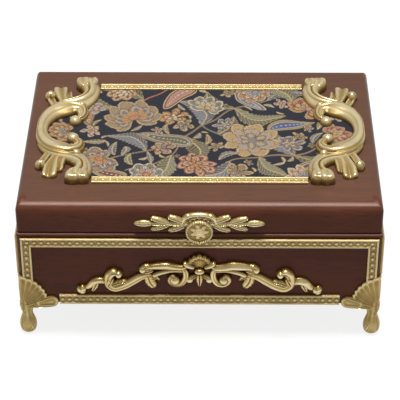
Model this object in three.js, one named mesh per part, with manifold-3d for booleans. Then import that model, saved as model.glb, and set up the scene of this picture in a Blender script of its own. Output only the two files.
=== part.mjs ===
// Flatware chest: lacquered box with a hinged lid, cast mounts, a cloth top panel and racks inside.
// Millimetres, +Z up, front face towards -Y, origin on the table under the middle of the box.
import * as THREE from 'three';
import { mergeVertices } from 'three/addons/utils/BufferGeometryUtils.js';
import Module from 'manifold-3d';

const wasm = await Module();
wasm.setup();

// Box
const chestWidth = 380;
const chestDepth = 268;
const baseHeight = 92.5;
const lidHeight = 34.5;
const seamGap = 0.5;
const footHeight = 41.5;
const wallThickness = 10;
const cornerLap = 4;
const floorThickness = 6;
const floorRebate = 4;
const floorFit = 0.3;
const lidTopThickness = 12;
const nosingRadius = 8;
const nosingSteps = 4;

// Fits shared by glued and screwed pieces
const glueLine = 0.25;
const holeFit = 0.3;

// Lining and racks
const liningThickness = 2;
const liningTopDrop = 3;
const lidLiningThickness = 1.5;
const lidLiningRise = 1;
const lidPadThickness = 8;
const rackHeight = 40;
const rackThickness = 14;
const rackSpacing = 140;
const laneWidth = 20;
const laneDepth = 24;
const laneTooth = 14;

// Bead trim on the front and sides
const trimWidth = 11;
const bottomTrimWidth = 12.5;
const trimThickness = 3;
const trimTopInset = 5.5;
const trimSideInset = 3;
const trimMitreGap = 0.4;
const trimFootGap = 1.5;

// Lid top: cloth panel, two trims and two C-shaped mounts
const topSetBack = 2.5;
const topTrimWidth = 10.5;
const topTrimThickness = 2.5;
const topTrimEndGap = 0.6;
const topTrimSetIn = 15.2;
const panelThickness = 1.5;
const panelFit = 0.5;
const scrollInset = 12;
const scrollReach = 40;
const scrollNeck = 24;
const scrollHalfSpan = 101.2;
const scrollEdgeMargin = 24.8;

// Corner feet
const wingThickness = 3.5;
const wingRise = 36.5;
const wingNotchRadius = 30.6;
const wingDrop = 6.3;
const wingLobeRadius = 7;
const wingLobeRise = 3.2;
const wingLobeSteps = 6;
const wingLobeTurn = 3.06;
const wingReach = 39.3;
const wingNotchAngle = 0.53;
const wingLobes = 5;
const wingScallop = 1.4;
const legInset = 4.7;
const legSides = 12;
const footPlateRadius = 34;
const footPlateThickness = 3;
const footScrewInset = 20;
const footScrewLength = 7;

// Clasp on the lid front
const claspRise = 13.9;
const claspBossDrop = 7.1;
const claspBossRadius = 6;
const medallionRadius = 14.4;
const medallionThickness = 5.2;
const medallionStandOff = 1;
const medallionRim = 2.6;

// Hinges on the back
const hingeWidth = 36;
const hingeSpacing = 220;
const hingeLeafHeight = 16;
const hingeLeafThickness = 1.5;
const barrelRadius = 3;
const barrelStandOff = 0.3;
const knuckleCount = 5;
const knuckleGap = 0.4;
const pinRadius = 1.2;
const pinProud = 1;
const pinFit = 0.25;

// Round-head wood screws
const screwShankRadius = 1.2;
const screwHeadRadius = 2.4;
const screwHeadHeight = 1.3;
const hingeScrewLength = 8;

// Facets
const strokeSteps = 2;
const panelSteps = 2;
const budSides = 8;
const roundSides = 8;
const barrelSides = 12;
const medallionSides = 20;
const laneSteps = 3;
const scallopSteps = 3;

// Sizes that follow from the ones above
const halfWidth = chestWidth / 2;
const halfDepth = chestDepth / 2;
const innerHalfWidth = halfWidth - wallThickness;
const innerHalfDepth = halfDepth - wallThickness;
const lidRailHeight = lidHeight - lidTopThickness;
const barrelOffset = barrelRadius + barrelStandOff;
const panelMid = (baseHeight - trimTopInset) / 2;
const scrollCentre = halfWidth - scrollInset - scrollReach;
const scrollStretch = (halfDepth - nosingRadius - scrollEdgeMargin) / scrollHalfSpan;
const topTrimInner = (scrollHalfSpan - topTrimSetIn) * scrollStretch;
const screwHoleRadius = (screwShankRadius + holeFit) / Math.cos(Math.PI / roundSides);
const topTrimHalfLength = scrollCentre - scrollNeck - topTrimEndGap;

const finish = (colour, roughness, metalness) => new THREE.MeshStandardMaterial({
  color: colour, roughness, metalness,
});
const wood = finish(0x543429, 0.35, 0);
const brass = finish(0x9c8048, 0.4, 0.9);
const gilt = finish(0xc2a768, 0.4, 0.8);
const steel = finish(0x8a8580, 0.4, 1);
const felt = finish(0x5f4536, 0.95, 0);
const cloth = finish(0x2c2b30, 0.9, 0);

// Turn a closed geometry into a solid that can be joined and cut
function solid(geometry) {
  const bare = geometry.clone();
  bare.deleteAttribute('normal');
  bare.deleteAttribute('uv');
  const merged = mergeVertices(bare);
  const index = merged.index.array;
  const kept = [];
  for (let i = 0; i < index.length; i += 3) {
    const [a, b, c] = [index[i], index[i + 1], index[i + 2]];
    if (a !== b && b !== c && c !== a) kept.push(a, b, c);
  }
  return new wasm.Manifold(new wasm.Mesh({
    numProp: 3,
    vertProperties: merged.attributes.position.array,
    triVerts: Uint32Array.from(kept),
  }));
}

function geometryOf(body) {
  const mesh = body.getMesh();
  const geometry = new THREE.BufferGeometry();
  geometry.setAttribute('position', new THREE.BufferAttribute(mesh.vertProperties.slice(), 3));
  geometry.setIndex(new THREE.BufferAttribute(mesh.triVerts.slice(), 1));
  geometry.computeVertexNormals();
  return geometry;
}

const joined = (geometries) => geometries.map(solid).reduce((all, next) => all.add(next));
const cut = (geometry, cutters) => geometryOf(
  cutters.map(solid).reduce((rest, next) => rest.subtract(next), solid(geometry)),
);

// Box between two corners, with its faces exactly on the numbers given
function block([x0, y0, z0], [x1, y1, z1]) {
  const geometry = new THREE.BoxGeometry(1, 1, 1);
  const place = geometry.attributes.position;
  for (let i = 0; i < place.count; i += 1) {
    place.setXYZ(i, place.getX(i) < 0 ? x0 : x1, place.getY(i) < 0 ? y0 : y1, place.getZ(i) < 0 ? z0 : z1);
  }
  return geometry;
}

// Outline carried straight up from one height to another
function prism(shape, low, high, curveSegments = 6) {
  const geometry = new THREE.ExtrudeGeometry(shape, { depth: 1, bevelEnabled: false, curveSegments });
  const place = geometry.attributes.position;
  for (let i = 0; i < place.count; i += 1) place.setZ(i, place.getZ(i) < 0.5 ? low : high);
  return geometry;
}

const polygon = (points) => new THREE.Shape(points.map(([x, y]) => new THREE.Vector2(x, y)));
const rectangle = (x, y) => polygon([[-x, -y], [x, -y], [x, y], [-x, y]]);

// Stand a flat outline upright: its y becomes height and its thickness points to the front
const upright = (geometry) => geometry.rotateX(Math.PI / 2);

function rod(radius, low, high, sides = roundSides) {
  const geometry = new THREE.CylinderGeometry(radius, radius, high - low, sides);
  return geometry.translate(0, (low + high) / 2, 0);
}

function lathe(profile, sides) {
  return new THREE.LatheGeometry(profile.map(([r, y]) => new THREE.Vector2(r, y)), sides);
}

// Raised band with a flat back; each point holds x, y, half width and height
function stroke(points, grow = 0) {
  const section = [[-1, 0], [-0.6, 1], [0.6, 1], [1, 0]];
  const path = new THREE.CatmullRomCurve3(points.map(([x, y]) => new THREE.Vector3(x, y, 0)));
  const girth = new THREE.CatmullRomCurve3(points.map(([, , w, h]) => new THREE.Vector3(w + grow, h, 0)));
  const rings = (points.length - 1) * strokeSteps;
  const place = [];
  const index = [];
  for (let ring = 0; ring <= rings; ring += 1) {
    const at = path.getPoint(ring / rings);
    const along = path.getTangent(ring / rings);
    const size = girth.getPoint(ring / rings);
    for (const [across, up] of section) {
      place.push(at.x - along.y * across * size.x, at.y + along.x * across * size.x, up * size.y);
    }
  }
  const count = section.length;
  for (let ring = 0; ring < rings; ring += 1) {
    for (let j = 0; j < count; j += 1) {
      const a = ring * count + j;
      const b = ring * count + (j + 1) % count;
      index.push(a, a + count, b, b, a + count, b + count);
    }
  }
  const last = rings * count;
  for (let j = 1; j < count - 1; j += 1) index.push(0, j, j + 1, last, last + j + 1, last + j);
  const geometry = new THREE.BufferGeometry();
  geometry.setAttribute('position', new THREE.Float32BufferAttribute(place, 3));
  geometry.setIndex(index);
  return geometry;
}

// Low dome with a flat back
function bud([x, y, radius, height], grow = 0) {
  const profile = [[0, 0], [1, 0], [0.7, 0.75], [0, 1]];
  const dome = lathe(profile, budSides).rotateX(Math.PI / 2);
  return dome.scale(radius + grow, radius + grow, height).translate(x, y, 0);
}

const flipX = (points) => points.map(([x, ...rest]) => [-x, ...rest]);
const flipY = (points) => points.map(([x, y, ...rest]) => [x, -y, ...rest]);

const chest = new THREE.Group();
const base = new THREE.Group();
const lid = new THREE.Group();
base.position.z = footHeight;
lid.position.z = footHeight + baseHeight + seamGap;
chest.add(base, lid);

function add(group, name, geometry, look) {
  const mesh = new THREE.Mesh(geometry, look);
  mesh.name = name;
  group.add(mesh);
  return mesh;
}

// Four boards of one storey: front and back lap over the ends of the side boards
function wallBoards(height, cutters, backCutters) {
  const sideBoard = (sign) => {
    const xs = [sign * halfWidth, sign * innerHalfWidth].sort((a, b) => a - b);
    return block([xs[0], cornerLap - halfDepth, 0], [xs[1], halfDepth - cornerLap, height]);
  };
  const sides = [sideBoard(-1), sideBoard(1)];
  const longBoard = (sign) => {
    const ys = [sign * halfDepth, sign * innerHalfDepth].sort((a, b) => a - b);
    return block([-halfWidth, ys[0], 0], [halfWidth, ys[1], height]);
  };
  return {
    front: cut(longBoard(-1), [...sides, ...cutters]),
    back: cut(longBoard(1), [...sides, ...cutters, ...backCutters]),
    left: cut(sides[0], cutters),
    right: cut(sides[1], cutters),
  };
}

// Hinge places, in the chest's own x, and the screw places on one leaf
const hingeSides = { left: -hingeSpacing / 2, right: hingeSpacing / 2 };
const leafLow = barrelRadius + knuckleGap;
const screwHeight = (leafLow + hingeLeafHeight) / 2;
const screwOffsets = [-hingeWidth / 4, hingeWidth / 4];
const seamHalf = seamGap / 2;

function screwHoles(height) {
  const holes = [];
  for (const x of Object.values(hingeSides)) {
    for (const offset of screwOffsets) {
      const low = halfDepth - hingeScrewLength - holeFit;
      const hole = rod(screwHoleRadius, low, halfDepth + hingeLeafThickness);
      holes.push(hole.translate(x + offset, 0, height));
    }
  }
  return holes;
}

// Base boards and floor
const floorHalfWidth = innerHalfWidth + floorRebate;
const floorHalfDepth = innerHalfDepth + floorRebate;
const floorRoom = block(
  [-floorHalfWidth - floorFit, -floorHalfDepth - floorFit, 0],
  [floorHalfWidth + floorFit, floorHalfDepth + floorFit, floorThickness + floorFit],
);
const baseScrewHeight = baseHeight + seamHalf - screwHeight;
const lidScrewHeight = screwHeight - seamHalf;
const baseBoards = wallBoards(baseHeight, [floorRoom], screwHoles(baseScrewHeight));
for (const [side, geometry] of Object.entries(baseBoards)) add(base, `base_${side}_board`, geometry, wood);

const corners = [
  ['front_left', -1, -1, 0],
  ['front_right', 1, -1, 1],
  ['back_right', 1, 1, 2],
  ['back_left', -1, 1, 3],
];
const footScrewHoles = corners.map(([, sx, sy]) => {
  const hole = upright(rod(screwHoleRadius, -footPlateThickness, footScrewLength - footPlateThickness));
  return hole.translate(sx * (halfWidth - footScrewInset), sy * (halfDepth - footScrewInset), 0);
});
const floorBoard = block(
  [-floorHalfWidth, -floorHalfDepth, 0],
  [floorHalfWidth, floorHalfDepth, floorThickness],
);
add(base, 'base_floor_board', cut(floorBoard, footScrewHoles), wood);

// Cloth lining of the base
function ringShape(x, y, thickness) {
  const ring = rectangle(x, y);
  ring.holes.push(rectangle(x - thickness, y - thickness));
  return ring;
}
const liningHalfWidth = innerHalfWidth - glueLine;
const liningHalfDepth = innerHalfDepth - glueLine;
const wallLining = prism(
  ringShape(liningHalfWidth, liningHalfDepth, liningThickness),
  floorThickness + glueLine,
  baseHeight - liningTopDrop,
);
add(base, 'wall_lining', wallLining, felt);
const bayHalfWidth = liningHalfWidth - liningThickness - glueLine;
const bayHalfDepth = liningHalfDepth - liningThickness - glueLine;
const bayFloor = floorThickness + glueLine + liningThickness;
const floorLining = block(
  [-bayHalfWidth, -bayHalfDepth, floorThickness + glueLine],
  [bayHalfWidth, bayHalfDepth, bayFloor],
);
add(base, 'floor_lining', floorLining, felt);

// Notched racks; the number of lanes follows from the room between the walls
const rackLength = 2 * bayHalfWidth;
const lanePitch = laneWidth + laneTooth;
const laneCount = Math.floor((rackLength - laneTooth) / lanePitch);

function rackShape() {
  const half = rackLength / 2;
  const radius = laneWidth / 2;
  const shape = new THREE.Shape();
  shape.moveTo(-half, 0);
  shape.lineTo(half, 0);
  shape.lineTo(half, rackHeight);
  for (let lane = laneCount - 1; lane >= 0; lane -= 1) {
    const centre = (lane - (laneCount - 1) / 2) * lanePitch;
    shape.lineTo(centre + radius, rackHeight);
    shape.absarc(centre, rackHeight - laneDepth + radius, radius, 0, -Math.PI, true);
    shape.lineTo(centre - radius, rackHeight);
  }
  shape.lineTo(-half, rackHeight);
  return shape;
}

const racks = { front_rack: -rackSpacing / 2, back_rack: rackSpacing / 2 };
for (const [name, y] of Object.entries(racks)) {
  const rack = add(base, name, upright(prism(rackShape(), -rackThickness / 2, rackThickness / 2, laneSteps)), felt);
  rack.position.set(0, y, bayFloor + glueLine);
}

// Corner feet: two fan-shaped wings on the box, a plate under it and a turned leg
function wingShape(sign, grow) {
  const points = [];
  const steps = wingLobes * scallopSteps;
  const pivot = -wingDrop;
  for (let i = 0; i <= steps; i += 1) {
    const share = i / steps;
    const angle = Math.PI / 2 + (wingNotchAngle - Math.PI / 2) * share;
    const reach = wingRise - pivot + (wingNotchRadius - wingRise + pivot) * share;
    const radius = reach + grow + wingScallop * Math.abs(Math.sin(Math.PI * wingLobes * share));
    points.push([radius * Math.cos(angle), pivot + radius * Math.sin(angle)]);
  }
  const lobe = [wingReach - wingLobeRadius, wingLobeRise];
  for (let i = 0; i <= wingLobeSteps; i += 1) {
    const angle = Math.PI / 2 - (wingLobeTurn * i) / wingLobeSteps;
    const radius = wingLobeRadius + grow;
    points.push([lobe[0] + radius * Math.cos(angle), lobe[1] + radius * Math.sin(angle)]);
  }
  const edge = -glueLine - wingThickness;
  const outline = [...points, [edge, pivot - grow], [edge, points[0][1]]];
  return polygon(outline.map(([x, y]) => [sign * x, y]));
}

const wing = (sign) => upright(prism(wingShape(sign, 0), glueLine, glueLine + wingThickness));
const plateTop = -glueLine;

// The plate's square corner lies inside both wings
function footPlate() {
  const corner = -glueLine - wingThickness / 2;
  const shape = new THREE.Shape();
  shape.moveTo(corner, corner);
  shape.absarc(corner, corner, footPlateRadius, 0, Math.PI / 2, false);
  return prism(shape, plateTop - footPlateThickness, plateTop);
}

// Leg: share of the foot's height below the box, and radius there
const legProfile = [
  [1, 5], [0.94, 8.2], [0.82, 9.3], [0.72, 9.2], [0.61, 8.3], [0.5, 6.9], [0.42, 5.8], [0.36, 5.6], [0.27, 6.4],
  [0.16, 7.8],
];
const legTop = 8.2;

function footBody() {
  const seat = plateTop - footPlateThickness / 2;
  const sides = legProfile.map(([share, radius]) => [radius, -share * footHeight]);
  const outline = [[0, -footHeight], ...sides, [legTop, seat], [0, seat]];
  const leg = upright(lathe(outline, legSides)).translate(legInset, legInset, 0);
  const sideWing = wing(-1).rotateZ(-Math.PI / 2);
  const hole = upright(rod(screwHoleRadius, -2 * footPlateThickness, 0));
  hole.translate(footScrewInset, footScrewInset, 0);
  return geometryOf(joined([wing(1), sideWing, footPlate(), leg]).subtract(solid(hole)));
}

function screw(length) {
  return lathe([
    [0, -length],
    [screwShankRadius, -length],
    [screwShankRadius, 0],
    [screwHeadRadius, 0],
    [screwHeadRadius * 0.8, screwHeadHeight * 0.7],
    [0, screwHeadHeight],
  ], roundSides);
}

for (const [corner, sx, sy, quarter] of corners) {
  const foot = add(base, `foot_${corner}`, footBody(), brass);
  foot.position.set(sx * halfWidth, sy * halfDepth, 0);
  foot.rotation.z = (quarter * Math.PI) / 2;
  const footScrew = add(base, `foot_screw_${corner}`, screw(footScrewLength).rotateX(-Math.PI / 2), steel);
  const depth = plateTop - footPlateThickness - glueLine;
  footScrew.position.set(sx * (halfWidth - footScrewInset), sy * (halfDepth - footScrewInset), depth);
}

// Bead trim frame on one face: mitred at the top, ending at the wings of the feet
function trimFrame(faceLength) {
  const outer = faceLength / 2 - trimSideInset;
  const inner = outer - trimWidth;
  const top = baseHeight - trimTopInset;
  const under = top - trimWidth;
  const low = glueLine;
  const high = glueLine + trimThickness;
  const bar = (points) => upright(prism(polygon(points), low, high));
  const gap = trimMitreGap;
  const cutWing = (sign) => upright(prism(wingShape(sign, trimFootGap), 0, high + 1));
  const post = (sign) => {
    const points = [[outer, 0], [outer, top - gap], [inner, under - gap], [inner, 0]];
    const wingCut = cutWing(-sign).translate((sign * faceLength) / 2, 0, 0);
    return cut(bar(points.map(([x, y]) => [sign * x, y])), [wingCut]);
  };
  const bottomHalf = faceLength / 2 - wingReach - trimFootGap;
  return [
    bar([[-outer, top], [-inner, under], [inner, under], [outer, top]]),
    bar([[-bottomHalf, 0], [bottomHalf, 0], [bottomHalf, bottomTrimWidth], [-bottomHalf, bottomTrimWidth]]),
    post(-1),
    post(1),
  ];
}

const trimFaces = [
  ['front_trim', chestWidth, ['top', 'bottom', 'left', 'right'], 0, -halfDepth, 0],
  ['left_trim', chestDepth, ['top', 'bottom', 'back', 'front'], -halfWidth, 0, -1],
  ['right_trim', chestDepth, ['top', 'bottom', 'front', 'back'], halfWidth, 0, 1],
];
for (const [prefix, length, names, x, y, quarter] of trimFaces) {
  trimFrame(length).forEach((geometry, i) => {
    const bar = add(base, `${prefix}_${names[i]}`, geometry, brass);
    bar.position.set(x, y, 0);
    bar.rotation.z = (quarter * Math.PI) / 2;
  });
}

// Garland of scrolls on the front panel: right half of each pair, then the middle
const garlandPairs = [
  [[3, 8, 2.6, 4.5], [9, 9.5, 3.4, 5], [16, 6.5, 3, 4.5]],
  [[12, 6, 3, 4.5], [21, 6.5, 4.4, 5.8], [36, 7.8, 4.8, 6.2], [48, 7.6, 4.4, 6], [57, 5.6, 2.8, 4.5]],
  [[48, 4.5, 2.6, 5], [55, 2, 4, 5.5], [63, 0.5, 2, 4]],
  [[50, 8, 2.6, 5], [57, 7, 3.8, 5.8], [63.5, 4, 1.8, 4]],
  [[18, 7, 2.6, 4.5], [15, 1, 3.4, 5], [15.2, -8, 3.7, 5.6], [20, -14.5, 3.8, 6], [26.5, -15, 3.6, 6]],
  [[25.5, -15, 3.6, 6], [31.2, -10, 3.2, 6.4], [29, -4.3, 2.8, 6.5], [24.6, -5.6, 2.2, 6.1]],
  [[15, 1.5, 2, 3.8], [30, 2, 2.5, 4.2], [42, -1, 2.8, 4.6], [50, -4.5, 3, 5]],
  [[52, -3, 3, 4.8], [52, -11, 5.6, 5.8], [49, -20, 2.2, 3.6]],
  [[50, -2.5, 3.2, 4.8], [60, -5, 4.3, 5.4], [70, -11.5, 4.7, 5.6], [82, -18.5, 4.9, 6], [90.5, -20.5, 4.8, 6.2]],
  [[89, -20.5, 4.8, 6.2], [96.5, -16, 4.4, 6.6], [97.5, -9, 4.2, 7], [95.5, -1.5, 4.3, 7.5]],
  [[96.8, -4, 3.6, 7.2], [92.6, 1.6, 3.6, 7.7], [87.2, -0.4, 3.2, 7.1], [87, -5.4, 2.4, 6.1]],
  [[95.5, -13.5, 3, 6], [86, -10.5, 4.6, 6.2], [73, -12, 1.6, 4]],
  [[97, -14, 3.2, 5], [104, -11.5, 4.2, 5.4], [111, -13, 4.2, 5.4], [116.5, -18.5, 3.5, 4.8], [121, -22, 3, 4.4]],
  [[108, -13, 2.4, 4], [111, -19.5, 3.4, 4.4], [114, -26, 1.6, 3]],
  [[1.5, -3, 2, 4], [9, -7.5, 3.4, 5], [12, -10, 3.4, 5]],
];
const garlandBuds = [[26, -9.5, 5, 7.4], [91.6, -3, 5.2, 7.9], [125, -23.3, 6, 6.2], [10.5, -9.5, 4.6, 5.6]];
const garlandDrop = [[0, 0, 2.6, 5], [0, -9, 4.2, 6], [0, -18.5, 1.6, 4]];
const garlandKnot = [0, 2.5, 5, 6.6];
const shellRibs = 5;
const shellSpread = 0.38;
const shellRoot = 6;
const shellTall = 17.5;
const shellFall = 1.2;
const shellRib = [[0.11, 2.1, 4.7], [0.6, 3.2, 6], [1, 2.6, 4.6]];
const garlandHalfLength = 131;
const garlandEndGap = 19.7;
const garlandHalfHeight = 29.5;
const garlandSideGap = 3;

function garlandBody() {
  const lengthwise = (halfWidth - wingReach - garlandEndGap) / garlandHalfLength;
  const upwards = (panelMid - trimWidth - garlandSideGap) / garlandHalfHeight;
  // The casting keeps its proportions and is as large as the panel allows both ways
  const scale = Math.min(lengthwise, upwards);
  const fit = (points) => points.map(([x, y, w, h]) => [x * scale, y * scale, w * scale, h]);
  const shapes = [stroke(fit(garlandDrop)), bud(fit([garlandKnot])[0])];
  for (const pair of garlandPairs) shapes.push(stroke(fit(pair)), stroke(fit(flipX(pair))));
  for (const one of garlandBuds) shapes.push(bud(fit([one])[0]), bud(fit(flipX([one]))[0]));
  for (let rib = 0; rib < shellRibs; rib += 1) {
    const turn = rib - (shellRibs - 1) / 2;
    const angle = turn * shellSpread;
    const length = shellTall - shellFall * Math.abs(turn);
    const rows = shellRib.map(([share, width, height]) => {
      const reach = length * share;
      return [Math.sin(angle) * reach, shellRoot + Math.cos(angle) * reach, width, height];
    });
    shapes.push(stroke(fit(rows)));
  }
  return upright(geometryOf(joined(shapes)));
}
add(base, 'front_scroll_mount', garlandBody(), gilt).position.set(0, -halfDepth - glueLine, panelMid);

// Lid boards
const lidBoards = wallBoards(lidRailHeight, [], screwHoles(lidScrewHeight));
for (const [side, geometry] of Object.entries(lidBoards)) add(lid, `lid_${side}_rail`, geometry, wood);

function lidTopBoard() {
  const flat = rectangle(halfWidth - nosingRadius, halfDepth - nosingRadius);
  const pillow = new THREE.ExtrudeGeometry(flat, {
    depth: lidTopThickness - nosingRadius,
    bevelEnabled: true,
    bevelThickness: nosingRadius,
    bevelSize: nosingRadius,
    bevelSegments: nosingSteps,
  });
  const below = block([-chestWidth, -chestDepth, -2 * nosingRadius], [chestWidth, chestDepth, 0]);
  return cut(pillow, [below]);
}
add(lid, 'lid_top_board', lidTopBoard(), wood).position.z = lidRailHeight;

// Padded lining inside the lid
const lidLining = prism(
  ringShape(liningHalfWidth, liningHalfDepth, lidLiningThickness),
  lidLiningRise,
  lidRailHeight - glueLine,
);
add(lid, 'lid_wall_lining', lidLining, felt);
const padHalfWidth = liningHalfWidth - lidLiningThickness - glueLine;
const padHalfDepth = liningHalfDepth - lidLiningThickness - glueLine;
const lidPad = block(
  [-padHalfWidth, -padHalfDepth, lidRailHeight - glueLine - lidPadThickness],
  [padHalfWidth, padHalfDepth, lidRailHeight - glueLine],
);
add(lid, 'lid_pad', lidPad, felt);

// C-shaped mount for the right end of the lid: one half of the strokes, mirrored front to back
const scrollPairs = [
  [
    [34.6, 0, 5.7, 8], [31.8, 18, 7.2, 8.7], [23.5, 32.5, 10.5, 9.6], [10.5, 44, 12.5, 10.5], [-4.5, 52, 10.5, 10.6],
    [-14, 60.5, 7.8, 10.6],
  ],
  [[-9, 56, 7.2, 10], [-14, 60.5, 7.8, 10.6], [-18.1, 70, 5.8, 11], [-18.6, 84, 5.3, 11.8]],
  [
    [-18.6, 80, 5.3, 11.6], [-16.8, 92.5, 6, 12.3], [-9.5, 94.6, 6.6, 12.4], [-4.6, 89, 6.8, 12.2],
    [-5.2, 81, 6.4, 11.4],
  ],
  [[22.5, 42, 3.4, 6.5], [25.5, 54, 3.6, 6.8], [27.5, 62, 4.9, 7.4], [28.2, 69, 3.8, 6]],
  [[14, 48, 4.6, 7.4], [18, 62, 5.4, 7.8], [19, 76, 4.6, 6.6], [18.6, 88.5, 1.2, 4]],
  [[7, 51, 4, 7], [10, 63, 4.2, 6.8], [10.4, 78, 1.2, 3.8]],
];
const scrollBuds = [[27.8, 65, 5, 7.6]];
const curlPairs = [[[-6.5, 47, 3.4, 6.8], [-10, 38, 3.2, 5.8], [-9, 28, 3, 5.2], [-4, 20, 2.8, 5], [1, 15, 2.4, 4.8]]];
const curlBuds = [[-6.5, 46, 5.2, 8.6], [1.3, 13.5, 5.4, 6.6]];

function mountShapes(pairs, buds, grow) {
  const fit = (points) => points.map(([x, y, w, h]) => [x, y * scrollStretch, w, h]);
  const halves = [...pairs, ...pairs.map(flipY)].map((half) => stroke(fit(half), grow));
  const domes = [...buds, ...flipY(buds)].map((one) => bud(fit([one])[0], grow));
  return [...halves, ...domes];
}

// The curls inside the C lie on the cloth, so they stand higher than the rest
function scrollBody() {
  const curls = mountShapes(curlPairs, curlBuds, 0);
  const raised = curls.map((geometry) => geometry.translate(0, 0, panelThickness + glueLine));
  return geometryOf(joined([...mountShapes(scrollPairs, scrollBuds, 0), ...raised]));
}

const topDeck = lidHeight + glueLine;
for (const [side, sign] of [['left', -1], ['right', 1]]) {
  const mount = add(lid, `c_scroll_${side}`, scrollBody(), gilt);
  mount.position.set(sign * scrollCentre, topSetBack, topDeck);
  mount.rotation.z = sign < 0 ? Math.PI : 0;
}

// Cloth panel between the trims; its ends follow the middle line of each C, less the C itself
function panelBody() {
  const halfPanel = topTrimInner - panelFit;
  const [bow, neck, volute] = scrollPairs;
  const middleLine = [...bow, neck[2]].map(([x, y]) => [scrollCentre + x, y * scrollStretch]);
  const tip = [middleLine[middleLine.length - 1][0], halfPanel];
  const quarter = [tip, ...middleLine.reverse()];
  const end = [...quarter, ...flipY(quarter).reverse().slice(1)];
  const shape = new THREE.Shape();
  for (const side of [end, flipX(end).reverse()]) {
    const [first, second, ...rest] = side;
    const [last, lastButOne] = [rest.pop(), rest.pop()];
    if (side === end) shape.moveTo(...first);
    else shape.lineTo(...first);
    shape.lineTo(...second);
    shape.splineThru([...rest, lastButOne].map(([x, y]) => new THREE.Vector2(x, y)));
    shape.lineTo(...last);
  }
  const mounts = [1, -1].flatMap((sign) => {
    const bands = mountShapes([bow, neck, volute], [], panelFit);
    const turned = bands.map((band) => band.rotateZ(sign < 0 ? Math.PI : 0));
    return turned.map((band) => band.translate(sign * scrollCentre, 0, -panelThickness / 2));
  });
  return cut(prism(shape, 0, panelThickness, panelSteps), mounts);
}
add(lid, 'tapestry_panel', panelBody(), cloth).position.set(0, topSetBack, topDeck);

for (const [side, sign] of [['front', -1], ['back', 1]]) {
  const bar = prism(rectangle(topTrimHalfLength, topTrimWidth / 2), 0, topTrimThickness);
  const strip = add(lid, `top_trim_${side}`, bar, gilt);
  strip.position.set(0, topSetBack + sign * (topTrimInner + topTrimWidth / 2), topDeck);
}

// Clasp: a leaf spray glued to the lid front, with a boss that carries the lift medallion
const sprayPairs = [
  [[8, 0, 4, 3.5], [34, 0, 3, 3.4], [50, 0, 2, 3]],
  [[47, 0, 2, 3], [57, 0, 4, 4.2], [68, 0, 1.4, 2.4]],
  [[31, 0, 3, 3.6], [42, 3.6, 3.8, 4.6], [50.5, 6.8, 2.2, 3.4]],
  [[31, 0, 3, 3.6], [42, -3.6, 3.8, 4.6], [50.5, -6.8, 2.2, 3.4]],
  [[13, 0, 4, 3.6], [24, 4.6, 4.6, 4.8], [32.5, 8.4, 2.6, 3.4]],
  [[13, 0, 4, 3.6], [24, -4.6, 4.6, 4.8], [32.5, -8.4, 2.6, 3.4]],
];
const sprayArch = [
  [18, -1.4, 2.8, 4], [13.5, 7.2, 3.4, 4.8], [0, 11.4, 3, 5.2], [-13.5, 7.2, 3.4, 4.8], [-18, -1.4, 2.8, 4],
];
// Shell that fills the arch, from the boss upwards
const sprayShell = [[0, -claspBossDrop, claspBossRadius, 2.5], [0, 0, 11.5, 3], [0, 6, 10.5, 3.4], [0, 10, 6, 3.6]];

const bossReach = glueLine + trimThickness + medallionStandOff - 2 * glueLine;
function claspBody() {
  const boss = upright(rod(claspBossRadius, 0, bossReach, barrelSides)).translate(0, -claspBossDrop, 0);
  const shapes = [stroke(sprayArch), stroke(sprayShell), boss];
  for (const pair of sprayPairs) shapes.push(stroke(pair), stroke(flipX(pair)));
  return upright(geometryOf(joined(shapes)));
}
add(lid, 'clasp_spray', claspBody(), brass).position.set(0, -halfDepth - glueLine, claspRise);

function medallion() {
  const rim = medallionRadius - medallionRim;
  return lathe([
    [0, 0],
    [medallionRadius - 1, 0],
    [medallionRadius, 1],
    [medallionRadius, medallionThickness * 0.6],
    [medallionRadius - medallionRim / 2, medallionThickness * 0.8],
    [rim, medallionThickness * 0.55],
    [rim * 0.6, medallionThickness * 0.85],
    [0, medallionThickness],
  ], medallionSides).rotateX(Math.PI);
}
const medallionBack = halfDepth + glueLine + trimThickness + medallionStandOff;
add(lid, 'clasp_medallion', medallion(), brass).position.set(0, -medallionBack, claspRise - claspBossDrop);

// Hinges: a leaf on the base and one on the lid, with interleaved knuckles round one pin
function hingeLeaf(sign) {
  const zs = (a, b) => [sign * a, sign * b].sort((p, q) => p - q);
  const slab = (x0, x1, y1, [z0, z1]) => block([x0, 0, z0], [x1, y1, z1]);
  const step = hingeWidth / knuckleCount;
  const half = hingeWidth / 2;
  const shapes = [slab(-half, half, hingeLeafThickness, zs(leafLow, hingeLeafHeight))];
  for (let i = sign < 0 ? 0 : 1; i < knuckleCount; i += 2) {
    const x0 = i * step - half + (i > 0 ? knuckleGap / 2 : 0);
    const x1 = (i + 1) * step - half - (i < knuckleCount - 1 ? knuckleGap / 2 : 0);
    const knuckle = rod(barrelRadius, x0, x1, barrelSides).rotateZ(-Math.PI / 2).translate(0, barrelOffset, 0);
    shapes.push(slab(x0, x1, barrelOffset, zs(0, leafLow + hingeLeafThickness)), knuckle);
  }
  const boreRadius = (pinRadius + pinFit) / Math.cos(Math.PI / roundSides);
  const bore = rod(boreRadius, -hingeWidth, hingeWidth).rotateZ(-Math.PI / 2).translate(0, barrelOffset, 0);
  const holes = screwOffsets.map((x) => {
    const hole = rod(screwHoleRadius, -hingeLeafThickness, 2 * hingeLeafThickness);
    return hole.translate(x, 0, sign * screwHeight);
  });
  return geometryOf([bore, ...holes].map(solid).reduce((rest, next) => rest.subtract(next), joined(shapes)));
}

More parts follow.
